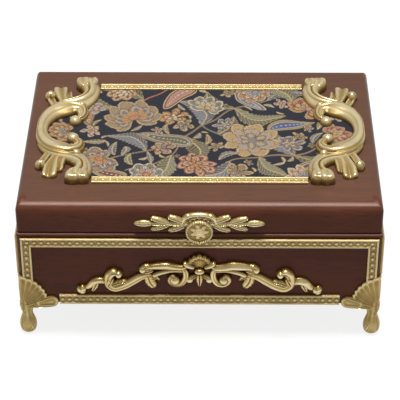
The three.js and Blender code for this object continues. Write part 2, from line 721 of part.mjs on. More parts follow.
const axisInBase = baseHeight + seamHalf;
const axisInLid = -seamHalf;
for (const [side, x] of Object.entries(hingeSides)) {
  add(base, `hinge_base_leaf_${side}`, hingeLeaf(-1), brass).position.set(x, halfDepth, axisInBase);
  add(lid, `hinge_lid_leaf_${side}`, hingeLeaf(1), brass).position.set(x, halfDepth, axisInLid);
  const pin = rod(pinRadius, -hingeWidth / 2 - pinProud, hingeWidth / 2 + pinProud).rotateZ(-Math.PI / 2);
  add(base, `hinge_pin_${side}`, pin, steel).position.set(x, halfDepth + barrelOffset, axisInBase);
  screwOffsets.forEach((offset, i) => {
    const face = halfDepth + hingeLeafThickness + glueLine;
    const hand = i === 0 ? 'a' : 'b';
    const low = add(base, `hinge_base_screw_${side}_${hand}`, screw(hingeScrewLength), steel);
    low.position.set(x + offset, face, baseScrewHeight);
    const high = add(lid, `hinge_lid_screw_${side}_${hand}`, screw(hingeScrewLength), steel);
    high.position.set(x + offset, face, lidScrewHeight);
  });
}

export default chest;
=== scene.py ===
from math import cos, pi, radians, sin
import bmesh
import bpy
import numpy as np
from mathutils import Matrix, Vector


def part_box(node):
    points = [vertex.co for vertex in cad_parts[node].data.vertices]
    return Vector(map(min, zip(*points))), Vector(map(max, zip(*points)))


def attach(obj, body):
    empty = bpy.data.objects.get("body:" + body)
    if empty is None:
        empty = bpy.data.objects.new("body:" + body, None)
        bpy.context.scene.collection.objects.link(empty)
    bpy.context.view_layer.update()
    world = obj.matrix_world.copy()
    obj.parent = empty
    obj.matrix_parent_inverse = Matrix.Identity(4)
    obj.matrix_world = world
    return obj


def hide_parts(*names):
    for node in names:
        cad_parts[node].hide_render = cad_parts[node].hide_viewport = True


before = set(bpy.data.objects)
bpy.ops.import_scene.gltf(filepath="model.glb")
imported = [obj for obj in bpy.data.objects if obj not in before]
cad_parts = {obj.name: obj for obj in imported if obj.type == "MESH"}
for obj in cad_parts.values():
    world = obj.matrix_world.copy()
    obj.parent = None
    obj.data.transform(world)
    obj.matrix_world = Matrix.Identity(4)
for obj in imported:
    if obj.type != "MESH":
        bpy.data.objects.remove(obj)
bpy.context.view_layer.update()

mm = 0.001
# height of the box bottom above the table; all heights below are above the box bottom, in millimetres
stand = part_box("base_floor_board")[0].z / mm
halfWidth, halfDepth, rimHeight, lidTop = 190.0, 134.0, 92.5, 127.5  # the wooden box
print("frame loaded:", len(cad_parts), "nodes")

# camera as in the photo: it looks at the target from a distance, pitched down, with a little yaw and roll
cameraFit = dict(
    target=(-0.0008, 0.0, 0.0805), distance=1.933, pitch=35.89, yaw=-0.69, roll=-0.21, lens=155.4)


def placeCamera(fit):
    pitch, yaw, roll = [radians(fit[name]) for name in ("pitch", "yaw", "roll")]
    ahead = Vector((sin(yaw) * cos(pitch), cos(yaw) * cos(pitch), -sin(pitch)))
    level = Vector((cos(yaw), -sin(yaw), 0))
    upward = level.cross(ahead)
    right = level * cos(roll) + upward * sin(roll)
    top = upward * cos(roll) - level * sin(roll)
    lensData = bpy.data.cameras.new("photo_camera")
    lensData.lens = fit["lens"]
    lensData.sensor_width = 36
    lensData.sensor_fit = "HORIZONTAL"
    lensData.clip_end = 50
    camera = bpy.data.objects.new("photo_camera", lensData)
    place = Matrix((right, top, -ahead)).transposed().to_4x4()
    place.translation = Vector(fit["target"]) - ahead * fit["distance"]
    camera.matrix_world = place
    bpy.context.scene.collection.objects.link(camera)
    bpy.context.scene.camera = camera


placeCamera(cameraFit)
print("camera placed")


# sRGB values 0 to 255 as linear light
def tint(*srgb):
    share = np.asarray(srgb, float) / 255
    return np.where(share <= 0.04045, share / 12.92, ((share + 0.055) / 1.055) ** 2.4)


def rgba(*srgb):
    return (*tint(*srgb).tolist(), 1.0)


# one socket of a node tree; arithmetic on it adds Math nodes
class Wire:
    def __init__(self, tree, socket=None):
        self.tree = tree
        self.socket = socket

    # any node: its type, its settings first, then the values or wires of its sockets
    def node(self, kind, settings=None, sockets=None, out=0):
        made = self.tree.nodes.new(kind)
        for name, value in (settings or {}).items():
            if name == "stops":
                ramp = made.color_ramp.elements
                while len(ramp) < len(value):
                    ramp.new(0.5)
                for stop, (place, colour) in zip(ramp, value):
                    stop.position = place
                    stop.color = colour
            else:
                setattr(made, name, value)
        for name, value in (sockets or {}).items():
            if isinstance(value, Wire):
                self.tree.links.new(value.socket, made.inputs[name])
            else:
                made.inputs[name].default_value = value
        return Wire(self.tree, made.outputs[out])

    def math(self, operation, first, second=0.0):
        return self.node("ShaderNodeMath", {"operation": operation}, {0: first, 1: second})

    def __add__(self, other):
        return self.math("ADD", self, other)

    def __sub__(self, other):
        return self.math("SUBTRACT", self, other)

    def __rsub__(self, other):
        return self.math("SUBTRACT", other, self)

    def __mul__(self, other):
        return self.math("MULTIPLY", self, other)

    def mix(self, low, high):
        return self.node("ShaderNodeMix", {"data_type": "RGBA"}, {0: self, 6: low, 7: high}, out=2)

    def spread(self, low, high):
        settings = {"clamp": True}
        return self.node("ShaderNodeMapRange", settings, {0: self, 1: low, 2: high, 3: 0.0, 4: 1.0})

    def noise(self, where, scale, detail=3.0, rough=0.5):
        sockets = {"Vector": where, "Scale": scale, "Detail": detail, "Roughness": rough}
        return self.node("ShaderNodeTexNoise", None, sockets)

    def stretched(self, scale):
        return self.node("ShaderNodeMapping", None, {"Vector": self, "Scale": scale})

    def bump(self, strength, depth):
        return self.node("ShaderNodeBump", None, {"Strength": strength, "Distance": depth, "Height": self})

    def attribute(self, name, out):
        return self.node("ShaderNodeAttribute", {"attribute_name": name}, None, out)


# new material: returns it, a wire to grow nodes from, and a way to feed the shader
def newFinish(name, **fixed):
    material = bpy.data.materials.new(name)
    material.use_nodes = True
    tree = material.node_tree
    tree.nodes.clear()
    shader = tree.nodes.new("ShaderNodeBsdfPrincipled")
    output = tree.nodes.new("ShaderNodeOutputMaterial")
    tree.links.new(shader.outputs[0], output.inputs[0])
    for socket, value in fixed.items():
        shader.inputs[socket.replace("_", " ")].default_value = value

    def feed(**wires):
        for socket, wire in wires.items():
            tree.links.new(wire.socket, shader.inputs[socket.replace("_", " ")])

    return material, Wire(tree), feed


objectSpace = ("ShaderNodeTexCoord", None, None, 3)

# the two lightest colours paint light: a greyer sheen for the lid top, and worn edges lit as a painted
# highlight
lacquerLook = dict(
    dark=(86, 43, 27), light=(114, 61, 40), rubbedAndLit=(160, 128, 110), topSheen=(99, 90, 77), poreShade=0.86,
    gloss=0.3, shine=0.18, streaks=(5, 120, 120), pores=(50, 1500, 1500), clouds=12.0, haze=60.0)


# lacquered wood: streaks and clouds along the grain, crossed by fine pores;
# tone 1 is sound lacquer, less is rubbed through and lighter (wear and a painted highlight),
# more is a painted sheen, lighter and greyer
def lacquerFinish(look):
    finish, grow, feed = newFinish("lacquered_wood", Specular_IOR_Level=look["shine"])
    grain = grow.attribute("grain", 1)
    streak = grow.noise(grain.stretched(look["streaks"]), 1.0, 4.0, 0.55)
    cloud = grow.noise(grain, look["clouds"], 2.0)
    pores = grow.noise(grain.stretched(look["pores"]), 1.0, 2.0).spread(0.3, 0.5)
    shade = (streak * 0.5 + cloud * 0.5).spread(0.28, 0.72)
    sound = shade.mix(rgba(*look["dark"]), rgba(*look["light"]))
    sound = pores.mix(rgba(*[look["poreShade"] * value for value in look["dark"]]), sound)
    tone = grow.attribute("tone", 2)
    # painted sheen where tone is above 1, wear with a painted highlight where it is below 1
    topSheen = (tone - 1.0).mix(sound, rgba(*look["topSheen"]))
    rubbedAndLit = (1.0 - tone).mix(topSheen, rgba(*look["rubbedAndLit"]))
    haze = grow.noise(grow.node(*objectSpace), look["haze"], 4.0)
    bump = (pores + haze * 0.4).bump(0.03, 0.0004)
    feed(Base_Color=rubbedAndLit, Roughness=haze * 0.12 + look["gloss"], Normal=bump)
    return finish


# each finish runs from dark, the painted shade of hollows, through low to high, a painted highlight on ridges
castLook = dict(
    brass=dict(dark=(92, 70, 30), low=(176, 150, 92), high=(238, 222, 174), rough=0.22, metal=0.8),
    gilt=dict(dark=(92, 68, 30), low=(180, 150, 88), high=(254, 240, 198), rough=0.2, metal=0.55),
    clasp=dict(dark=(114, 92, 48), low=(204, 178, 116), high=(255, 242, 200), rough=0.2, metal=0.75),
    strip=dict(dark=(122, 98, 52), low=(194, 168, 108), high=(236, 220, 174), rough=0.4, metal=0.6),
    garland=dict(dark=(84, 60, 22), low=(200, 168, 98), high=(255, 244, 206), rough=0.16, metal=0.75))


# cast metal: the tone painted on the mesh is painted light and shade with some wear: it goes from painted
# shade in hollows (0) to ridges that are worn and carry a painted highlight (1)
def castFinish(name, look, clouds=55.0, sands=900.0):
    finish, grow, feed = newFinish(name, Metallic=look["metal"])
    tone = grow.attribute("tone", 2)
    where = grow.node(*objectSpace)
    cloud = grow.noise(where, clouds, 3.0)
    sand = grow.noise(where, sands, 2.0, 0.6)
    litAndWorn = (tone * 0.9 + cloud * 0.3 - 0.15).spread(0.0, 1.0)
    stops = [(place, rgba(*look[shade])) for place, shade in ((0.0, "dark"), (0.5, "low"), (1.0, "high"))]
    colour = grow.node("ShaderNodeValToRGB", {"stops": stops}, {0: litAndWorn})
    rough = (1.0 - litAndWorn) * 0.25 + sand * 0.04 + look["rough"]
    feed(Base_Color=colour, Roughness=rough, Normal=(sand + cloud * 0.5).bump(0.05, 0.0002))
    return finish


steelLook = dict(low=(150, 140, 120), high=(190, 184, 172), scuffs=(300, 300, 1800), rough=0.25)


def steelFinish(look):
    finish, grow, feed = newFinish("screw_steel", Metallic=1.0)
    scuff = grow.noise(grow.node(*objectSpace).stretched(look["scuffs"]), 1.0, 3.0)
    feed(Base_Color=scuff.mix(rgba(*look["low"]), rgba(*look["high"])), Roughness=scuff * 0.2 + look["rough"])
    return finish


clothLook = dict(
    lining=((66, 42, 30), (96, 64, 46)), rack=((60, 38, 27), (90, 60, 43)), pad=((78, 50, 36), (112, 76, 55)))


# brushed cloth: short fibres lying in clouds, with a sheen
def clothFinish(name, shades, fibres=2600.0, clouds=38.0):
    finish, grow, feed = newFinish(
        name, Sheen_Weight=0.45, Sheen_Roughness=0.4, Sheen_Tint=rgba(196, 160, 130), Specular_IOR_Level=0.15)
    where = grow.node(*objectSpace)
    fibre = grow.noise(where, fibres, 2.0, 0.7)
    nap = grow.noise(where, clouds, 3.0)
    colour = (fibre * 0.5 + nap * 0.5).spread(0.3, 0.7).mix(rgba(*shades[0]), rgba(*shades[1]))
    feed(Base_Color=colour, Roughness=nap * 0.1 + 0.85, Normal=fibre.bump(0.4, 0.0004))
    return finish


wovenLook = dict(threads=0.0011, slubs=(1500, 220, 1), shade=(196, 196, 196), rough=0.78)


# woven panel: dyed threads painted on the mesh, crossed by a plain weave and its slubs
def wovenFinish(look):
    finish, grow, feed = newFinish(
        "woven_panel", Sheen_Weight=0.12, Sheen_Roughness=0.5, Specular_IOR_Level=0.2)
    where = grow.node(*objectSpace)
    axes = [grow.node("ShaderNodeSeparateXYZ", None, {0: where}, out) for out in (0, 1)]
    warp, weft = [grow.math("SINE", axis * (2 * pi / look["threads"])) for axis in axes]
    weave = (warp * weft).spread(-1.0, 1.0)
    slub = grow.noise(where.stretched(look["slubs"]), 1.0, 2.0)
    lit = (weave * 0.55 + slub * 0.45).spread(0.1, 0.75).mix(rgba(*look["shade"]), rgba(255, 255, 255))
    dyed = grow.node("ShaderNodeMix", {"data_type": "RGBA", "blend_type": "MULTIPLY"},
                     {0: 1.0, 6: grow.attribute("dye", 0), 7: lit}, 2)
    feed(Base_Color=dyed, Roughness=slub * 0.12 + look["rough"], Normal=(weave + slub).bump(0.35, 0.0003))
    return finish


woodFinish = lacquerFinish(lacquerLook)
brassFinish = castFinish("cast_brass", castLook["brass"])
giltFinish = castFinish("pale_gilt", castLook["gilt"])
garlandFinish = castFinish("bright_gilt", castLook["garland"])
claspFinish = castFinish("bright_brass", castLook["clasp"])
stripFinish = castFinish("pressed_brass", castLook["strip"])
screwFinish = steelFinish(steelLook)
liningFinish, rackFinish, padFinish = [clothFinish(name + "_cloth", clothLook[name]) for name in clothLook]
panelFinish = wovenFinish(wovenLook)
print("finishes mixed")


# rows by columns of points become quads; wrap joins the last column to the first
def gridShell(points, tone=1.0, wrap=False):
    rows, cols = points.shape[:2]
    i = np.arange(rows - 1)[:, None] * cols
    j = np.arange(cols if wrap else cols - 1)[None, :]
    k = (j + 1) % cols
    faces = np.stack([i + j, i + k, i + cols + k, i + cols + j], -1).reshape(-1, 4)
    return points.reshape(-1, 3), faces, np.broadcast_to(tone, (rows, cols)).reshape(-1)


# angles once round, as one row
def around(sides):
    return np.linspace(0, 2 * pi, sides, endpoint=False)[None, :]


# bell curve: 1 at no distance, and about a third where the distance is the width
def bell(away, wide):
    return np.exp(-(away / wide) ** 2)


# shells in millimetres become one object: doubles merged, normals out, smooth but for sharp edges
def makePiece(name, shells, finish, body, nodes, sharp=38.0, rims=(), paints=None):
    starts = np.cumsum([0] + [len(shell[0]) for shell in shells])
    points = (np.concatenate([shell[0] for shell in shells]) + (0, 0, stand)) * mm
    faces = np.concatenate([shell[1] + start for shell, start in zip(shells, starts)]).tolist()
    mesh = bpy.data.meshes.new(name)
    mesh.from_pydata(points.tolist(), [], faces + [list(map(int, rim)) for rim in rims])
    tone = np.concatenate([shell[2] for shell in shells]).astype(np.float32)
    mesh.attributes.new("tone", "FLOAT", "POINT").data.foreach_set("value", np.clip(tone, 0, 2))
    for paint, (kind, field, values) in (paints or {}).items():
        mesh.attributes.new(paint, kind, "POINT").data.foreach_set(field, values.astype(np.float32).ravel())
    work = bmesh.new()
    work.from_mesh(mesh)
    bmesh.ops.remove_doubles(work, verts=work.verts, dist=2e-6)
    bmesh.ops.dissolve_degenerate(work, edges=work.edges, dist=1e-7)
    bmesh.ops.recalc_face_normals(work, faces=work.faces)
    work.to_mesh(mesh)
    work.free()
    mesh.polygons.foreach_set("use_smooth", np.ones(len(mesh.polygons), bool))
    mesh.set_sharp_from_angle(angle=radians(sharp))
    mesh.materials.append(finish)
    made = bpy.data.objects.new(name, mesh)
    bpy.context.scene.collection.objects.link(made)
    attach(made, body)
    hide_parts(*nodes)
    return made


# smooth curve through control rows: cubic pieces by chord length, slopes from neighbour to neighbour
def thread(rows, share):
    rows = np.asarray(rows, float)
    chord = np.maximum(np.linalg.norm(np.diff(rows[:, :2], axis=0), axis=1), 1e-6)
    knot = np.concatenate([[0], np.cumsum(chord)])
    slope = np.gradient(rows, knot, axis=0)
    at = np.asarray(share, float) * knot[-1]
    k = np.clip(np.searchsorted(knot, at, side="right") - 1, 0, len(rows) - 2)
    h = chord[k][:, None]
    s = ((at - knot[k]) / chord[k])[:, None]
    a, b = rows[k], rows[k + 1]
    m, n = slope[k] * h, slope[k + 1] * h
    place = a + s * m + s * s * (3 * (b - a) - 2 * m - n) + s ** 3 * (2 * (a - b) + m + n)
    run = (m + 2 * s * (3 * (b - a) - 2 * m - n) + 3 * s * s * (2 * (a - b) + m + n)) / h
    run = run[:, :2] / np.maximum(np.linalg.norm(run[:, :2], axis=1, keepdims=True), 1e-9)
    return place, run, knot[-1]


# cross sections of the cast strokes: rise and tone for u across (-1 to 1) and t along (0 to 1);
# the tone is painted light and shade: lower in grooves, veins and on flanks that turn down, higher on crests
def domeSection(u, t):
    dome = np.sqrt(1 - 0.94 * u ** 2)
    return 0.22 + 0.78 * dome, 1 - 0.55 * u ** 6


def rollSection(u, t):
    v = u + 0.3 * (1 - u ** 2)
    dome = np.sqrt(1 - 0.94 * v ** 2)
    groove = bell(u + 0.66, 0.08)
    return 0.26 + 0.74 * dome - 0.16 * groove, 1 - 0.75 * groove - 0.4 * u ** 8


def twinSection(u, t):
    dome = np.sqrt(1 - 0.94 * u ** 2)
    groove = bell(u - 0.12, 0.13)
    return 0.24 + 0.76 * dome - 0.24 * groove, 1 - 0.75 * groove - 0.5 * u ** 6


def leafSection(u, t):
    dome = np.sqrt(1 - 0.95 * u ** 2)
    rib = bell(u, 0.13)
    vein = np.abs(u) * (0.5 + 0.5 * np.cos(2 * pi * (5 * t - 0.9 * np.abs(u))))
    return 0.2 + 0.8 * dome - 0.26 * rib - 0.1 * vein, 1 - 0.7 * rib - 0.4 * vein - 0.3 * u ** 6


def shellSection(u, t):
    dome = np.sqrt(1 - 0.96 * u ** 2)
    hollow = bell(u, 0.35) * np.clip(1.6 - 2.0 * np.abs(t - 0.6), 0, 1)
    return 0.2 + 0.8 * dome - 0.22 * hollow, 1 - 0.45 * hollow - 0.5 * u ** 6


# section carried along a threaded path, with a flat back and rounded tips;
# control rows hold x, y, half width and height
def band(rows, section, across=13, along=34, tips=(1.0, 1.0), lift=0.0):
    s = np.linspace(0, 1, along)
    t = s - 0.75 * np.sin(2 * pi * s) / (2 * pi)
    line, run, length = thread(rows, t)
    ends = [max(tip * w / length, 1e-4) for tip, w in zip(tips, (rows[0][2], rows[-1][2]))]
    near = np.maximum(1 - t / ends[0], 0), np.maximum(1 - (1 - t) / ends[1], 0)
    tip = np.sqrt(np.clip(1 - near[0] ** 2, 0, 1) * np.clip(1 - near[1] ** 2, 0, 1))[:, None]
    even, close = np.linspace(-1, 1, across), np.sin(np.linspace(-pi / 2, pi / 2, across))
    u = (close * 0.5 + even * 0.5)[None, :]
    rise, tone = section(u, t[:, None])
    wide = line[:, 2:3] * tip
    tall = line[:, 3:4] * tip ** 0.6 * rise
    x = line[:, :1] - run[:, 1:] * u * wide
    y = line[:, 1:2] + run[:, :1] * u * wide
    top = np.stack([x, y, tall], -1)
    flat = top[:, [0, -1]] * (1, 1, 0)
    ring = np.concatenate([flat[:, :1], top, flat[:, 1:]], 1) + (0, 0, lift)
    # painted shade: the flat back and the tapering tips are darker
    edge = np.full((along, 1), 0.15)
    return gridShell(ring, np.concatenate([edge, tone * (0.6 + 0.4 * tip), edge], 1), wrap=True)


# painted shade in hollows, standing in for the shade that falls there, together with old finish left in them:
# tone falls where a point lies below the mean height around it, which is read from a coarse grid of the
# highest points
def hollowShadeAndPatina(shells, depth, cell=1.6, spread=3, dark=0.8):
    points = np.concatenate([shell[0] for shell in shells])
    low = points[:, :2].min(0) - cell * (spread + 3)
    field = np.zeros(((points[:, :2].max(0) - low) / cell).astype(int) + spread + 4)
    spot = ((points[:, :2] - low) / cell).astype(int)
    np.maximum.at(field, (spot[:, 0], spot[:, 1]), points[:, 2])
    steps = [(a, b) for a in (-1, 0, 1) for b in (-1, 0, 1)]
    field = np.max([np.roll(field, step, (0, 1)) for step in steps], 0)
    for _ in range(spread):
        field = np.mean([np.roll(field, step, (0, 1)) for step in steps], 0)
    aged = []
    for place, faces, tone in shells:
        spot = ((place[:, :2] - low) / cell).astype(int)
        below = np.clip((field[spot[:, 0], spot[:, 1]] - place[:, 2]) / depth + 0.15, 0, 1)
        aged.append((place, faces, tone * (1 - dark * below)))
    return aged


# low dome with a flat back; lobes cut grooves that run from rim to crown
def bud(row, lobes=0, depth=0.0, turn=0.0, lift=0.0, rings=9, sides=28):
    x, y, radius, height = row
    climb = np.linspace(0, pi / 2, rings)[:, None]
    angle = around(sides)
    groove = bell(np.cos((angle - turn) * lobes / 2), 0.3) if lobes else 0 * angle
    swell = 1 - depth * groove * np.cos(climb) ** 0.5
    dome = np.stack([
        x + radius * np.cos(climb) * swell * np.cos(angle),
        y + radius * np.cos(climb) * swell * np.sin(angle),
        lift + height * (0.12 + 0.88 * np.sin(climb)) + 0 * angle], -1)
    rim = dome[:1] * (1, 1, 0) + (0, 0, lift)
    heart = np.broadcast_to(np.array([x, y, lift]), rim.shape)
    # painted shade: darker in the grooves, low on the flanks and underneath; the crown carries the highlight
    tone = np.concatenate([0.1 + 0 * groove, 0.1 + 0 * groove,
                           1 - 0.7 * groove - 0.5 * np.cos(climb) ** 6 + 0 * angle])
    return gridShell(np.concatenate([heart, rim, dome]), tone, wrap=True)


def flip(rows, axis):
    turned = np.array(rows, float)
    turned[:, axis] *= -1
    return turned.tolist()


# moves shells from their own plane to the chest: columns of the matrix are where x, y and height go
def carry(shells, columns, origin):
    turn = np.array(columns, float)
    return [(points @ turn + origin, faces, tone) for points, faces, tone in shells]


onTop = [(1, 0, 0), (0, 1, 0), (0, 0, 1)]
onFront = [(1, 0, 0), (0, 0, 1), (0, -1, 0)]
faceTurns = dict(
    front=(onFront, (0, -halfDepth, 0)),
    left=([(0, -1, 0), (0, 0, 1), (-1, 0, 0)], (-halfWidth, 0, 0)),
    right=([(0, 1, 0), (0, 0, 1), (1, 0, 0)], (halfWidth, 0, 0)))


# level ring round a rectangle with rounded corners, each corner with a support point before and after it
def cornerRing(halfX, halfY, radius, z, support=2.5, steps=7):
    arc = np.linspace(0, pi / 2, steps)
    dx, dy = np.cos(arc) * radius, np.sin(arc) * radius
    cx, cy = halfX - radius, halfY - radius
    quarter = np.stack([
        np.concatenate([[halfX], cx + dx, [cx - support]]),
        np.concatenate([[cy - support], cy + dy, [halfY]])], 1)
    back = quarter[::-1] * (-1, 1)
    ring = np.concatenate([quarter, back, quarter * (-1, -1), back * (-1, -1)])
    return np.column_stack([ring, np.full(len(ring), z)])


# a profile of (inset, height, corner radius) carried round the plan, closed at both ends on its middle line
def boxShell(halfX, halfY, profile, startZ, endZ, support=2.5, steps=7):
    rings = [cornerRing(halfX - d, halfY - d, radius, z, support, steps) for d, z, radius in profile]
    spine = halfX - halfY
    ends = [np.column_stack([np.clip(ring[:, 0], -spine, spine), 0 * ring[:, 1], np.full(len(ring), z)])
            for ring, z in ((rings[0], startZ), (rings[-1], endZ))]
    return np.array([ends[0], *rings, ends[1]])


# indices of the points round the border of a grid, in order
def borderOf(rows, cols):
    grid = np.arange(rows * cols).reshape(rows, cols)
    return np.concatenate([grid[0, :-1], grid[:-1, -1], grid[-1, :0:-1], grid[:0:-1, 0]])


# grain runs along x on the long faces and the lid top, along y on the short faces
def grainOf(points, topHeight):
    x, y, z = points.T
    onSide = (np.abs(np.abs(x) - halfWidth) < np.abs(np.abs(y) - halfDepth)) & (z < topHeight)
    along = np.where(onSide, y + 700, x)
    across = np.where(onSide, x, y)
    return np.stack([along, across, z], 1) * mm


sharpCorner = 0.8  # least corner radius of a ring


# quarter circle from the side of the box to its top, as rows of a profile
def roundOver(inset, height, radius, steps, cornerRadius):
    turns = np.linspace(0, pi / 2, steps)
    cuts = radius * (1 - np.cos(turns))
    return [(inset + cut, height + radius * sin(turn), max(cornerRadius - cut, sharpCorner))
            for turn, cut in zip(turns, cuts)]


# edges are rows of inset and height above the bottom, or below the rim
baseLook = dict(
    low=0.0, high=rimHeight, corner=3.0, lip=1.8, proud=1.3, lipDrop=3.4, wall=10.0, floor=6.0,
    innerCorner=1.0, under=((6.6, 0.0), (6.3, 0.5), (6.0, 0.0), (3.0, 0.0)),
    foot=((1.0, 0.0), (0.3, 0.3), (0.0, 1.0), (0.0, 3.0)), lipEdge=((0.0, -0.6), (0.4, -0.2), (1.0, 0.6)),
    # the last entry paints the rounded lip lighter: wear, and a painted highlight where it catches the light
    # under the lid
    lipWornAndLit=(0.0, 0.1, 0.15, 0.3, 0.4, 0.3))


def makeBase(look):
    low, high, corner, lip, wall, floor = [look[k] for k in ("low", "high", "corner", "lip", "wall", "floor")]
    under = [(d, low + z, sharpCorner) for d, z in look["under"]]
    foot = [(d, low + z, max(corner - d, sharpCorner)) for d, z in look["foot"]]
    rim = [(-look["proud"] * d, high - look["lipDrop"] + z, corner) for d, z in look["lipEdge"]]
    over = roundOver(-look["proud"], high - lip, lip, len(look["lipWornAndLit"]), corner)
    inside = ((lip + 1.2, high), (wall - 1.0, high), (wall - 0.3, high - 0.3), (wall, high - 1.0),
              (wall, high - 3.0), (wall, floor + 1), (wall, floor))
    inner = [(d, z, look["innerCorner"]) for d, z in inside]
    points = boxShell(halfWidth, halfDepth, under + foot + rim + over + inner, low, floor)
    points[..., 1] = np.minimum(points[..., 1], halfDepth)  # the back stays flat behind the hinges
    tone = np.ones((len(points), 1))
    lipStart = 1 + len(under + foot + rim)
    # painted highlight with wear on the lip
    tone[lipStart:lipStart + len(over), 0] -= look["lipWornAndLit"]
    shell = gridShell(points, tone, wrap=True)
    grain = {"grain": ("FLOAT_VECTOR", "vector", grainOf(shell[0], lidTop))}
    nodes = ["base_" + name + "_board" for name in ("front", "back", "left", "right", "floor")]
    return makePiece("base_carcass", [shell], woodFinish, "base", nodes, 30, (), grain)


# the skirt's rows are inset, height above the lid's lower edge and corner radius
lidLook = dict(
    low=93.0, high=lidTop, corner=4.0, nosing=8.0, frontNose=11.5, wall=10.0, ceiling=115.5,
    innerCorner=1.0, support=16.0,
    skirt=((3.5, 0.0, 2.0), (1.9, 0.0, 2.6), (1.1, 0.25, 3.2), (0.45, 0.9, 3.6), (0.1, 1.8, 4.0),
           (0.0, 2.8, 4.0), (0.0, 5.0, 4.0)),
    # light painted on the wood: a sheen on the top and on the side rolls, and wear with a highlight on the
    # front roll
    flat=(9.5, 11.5, 14.0), topSheen=0.35, sideSheen=0.15, rubbedAndLit=0.46)


def makeLid(look):
    low, high, corner, nosing, wall = [look[k] for k in ("low", "high", "corner", "nosing", "wall")]
    ceiling = look["ceiling"]
    inside = ((wall, ceiling), (wall, ceiling - 1), (wall, low + 3), (wall, low + 0.8),
              (wall - 0.3, low + 0.2), (wall - 0.8, low))
    inner = [(d, z, look["innerCorner"]) for d, z in inside]
    skirt = [(d, low + z, radius) for d, z, radius in look["skirt"]] + [(0.0, high - nosing - 2, corner)]
    nose = roundOver(0.0, high - nosing, nosing, 10, corner)
    flat = [(d, high, sharpCorner) for d in look["flat"]]
    points = boxShell(halfWidth, halfDepth, inner + skirt + nose + flat, ceiling, high, look["support"])
    # the front edge is rounder: its quarter circle cuts down the points that stand above it
    roll = look["frontNose"]
    into = np.clip(points[..., 1] + halfDepth, 0, roll)
    fall = roll - np.sqrt(np.clip(roll ** 2 - (roll - into) ** 2, 0, None))
    outside = points[..., 2] > high - roll - 1
    points[..., 2] = np.where(outside, np.minimum(points[..., 2], high - fall), points[..., 2])
    # the front roll is rubbed lighter: wear, and a painted highlight along the nosing
    noseWornAndLit = outside * bell(fall - 1.2, 1.6) * (into < roll)
    # painted sheen: the top and, further down, the rolled edges at the sides are lighter and greyer, as where
    # light glances off them
    down = high - points[..., 2]
    level = np.clip(1 - down / np.where(into < roll, nosing, 2 * nosing), 0, 1)
    side = look["sideSheen"] * np.clip(down / 1.5, 0, 1) * np.clip(1 - down / nosing, 0, 1) * (into >= roll)
    tone = 1 + look["topSheen"] * level * (1 - noseWornAndLit) + side - look["rubbedAndLit"] * noseWornAndLit
    shell = gridShell(points, tone, wrap=True)
    grain = {"grain": ("FLOAT_VECTOR", "vector", grainOf(shell[0], high - nosing - 1))}
    nodes = ["lid_top_board"] + ["lid_" + name + "_rail" for name in ("front", "back", "left", "right")]
    return makePiece("lid_shell", [shell], woodFinish, "lid", nodes, 30, (), grain)


baseCarcass = makeBase(baseLook)
lidShell = makeLid(lidLook)
print("boxes built")


trimLook = dict(
    width=11.0, lowWidth=12.5, inset=3.0, topDrop=5.5, mitre=0.4, footGap=0.5, lowGap=1.5, back=0.25,
    floor=1.1, rail=2.9, pitch=7.5, endSpace=2.5, bead=(2.4, 2.0, 2.2), topWidth=10.5, topRail=2.5,
    topFloor=1.05, topBead=(1.75, 1.2, 1.25))
wingLook = dict(
    rise=42.8, notch=30.6, drop=6.3, angle=0.53, low=0.078, lobes=6, scallop=1.7, lobe=(32.3, 9.5),
    lobeRadius=7.0, leastReach=30.0, reach=39.3, earLength=12.0, earFall=3.0, earTaper=2.4, earRidge=5.3,
    earEdge=6.9, earHeight=1.7)


# outline of a foot's wing about its pivot: scalloped fan down to the notch angle,
# then the round lobe's far side; share is 0 upright and 1 at the notch
def wingReach(angle, look, grow=0.0):
    share = (pi / 2 - angle) / (pi / 2 - look["angle"])
    fan = look["rise"] + (look["notch"] - look["rise"]) * share
    fan = fan + look["scallop"] * np.abs(np.sin(pi * look["lobes"] * np.clip(share, 0, 1)))
    cx, cy = look["lobe"]
    along = cx * np.cos(angle) + cy * np.sin(angle)
    lobe = along + np.sqrt(np.maximum(along ** 2 - cx ** 2 - cy ** 2 + look["lobeRadius"] ** 2, 0))
    return np.where(share <= 1, fan, np.maximum(lobe, look["leastReach"])) + grow, share


# section of a bead strip: a rounded rail along each edge of a sunk floor;
# tone is a painted highlight on the rails and painted shade on the floor between them
def railSection(v, half, look, rail):
    crest = np.exp(-np.abs((np.abs(v) - half + 1.25) / 1.35) ** 4)
    return look["floor"] + (rail - look["floor"]) * crest, 0.42 + 0.45 * crest


# strip whose two ends may differ for each line of the section; beads stand at a pitch on its floor
def beadStrip(half, rail, startAt, endAt, look, upright=False):
    v = np.concatenate([[-half], np.linspace(-half, half, 45), [half]])
    rise, tone = railSection(v, half, look, rail)
    rise[[0, -1]] = 0
    tone[[0, -1]] = 0.1
    run = np.stack([startAt(v), endAt(v)])
    strip = np.stack([run, v + 0 * run, rise + look["back"] + 0 * run], -1)
    first, last = [float(end(np.zeros(1))[0]) for end in (startAt, endAt)]
    count = int((last - first - look["endSpace"]) // look["pitch"])
    places = (first + last) / 2 + (np.arange(count + 1) - count / 2) * look["pitch"]
    a, b, c = look["bead"]
    climb = np.linspace(0, pi / 2, 5)[:, None]
    angle = around(10)
    dome = [a * np.cos(climb) * np.cos(angle), b * np.cos(climb) * np.sin(angle),
            c * np.sin(climb) + 0 * angle]
    bead = np.concatenate([np.zeros((1, angle.size, 3)), np.stack(dome, -1)])
    bead = bead + (0, 0, look["back"] + look["floor"] - 0.05)
    # painted shade at the foot of each bead and a painted highlight on its dome
    shade = np.array([0.2, 0.3, 0.7, 1, 1, 1])[:, None]
    shells = [gridShell(strip, tone, wrap=True)]
    shells += [gridShell(bead + (place, 0, 0), shade, wrap=True) for place in places]
    cols = len(v)
    if upright:
        shells = [(points[:, [1, 0, 2]] * (-1, 1, 1), faces, tones) for points, faces, tones in shells]
    return shells, [range(cols), range(2 * cols - 1, cols - 1, -1)]


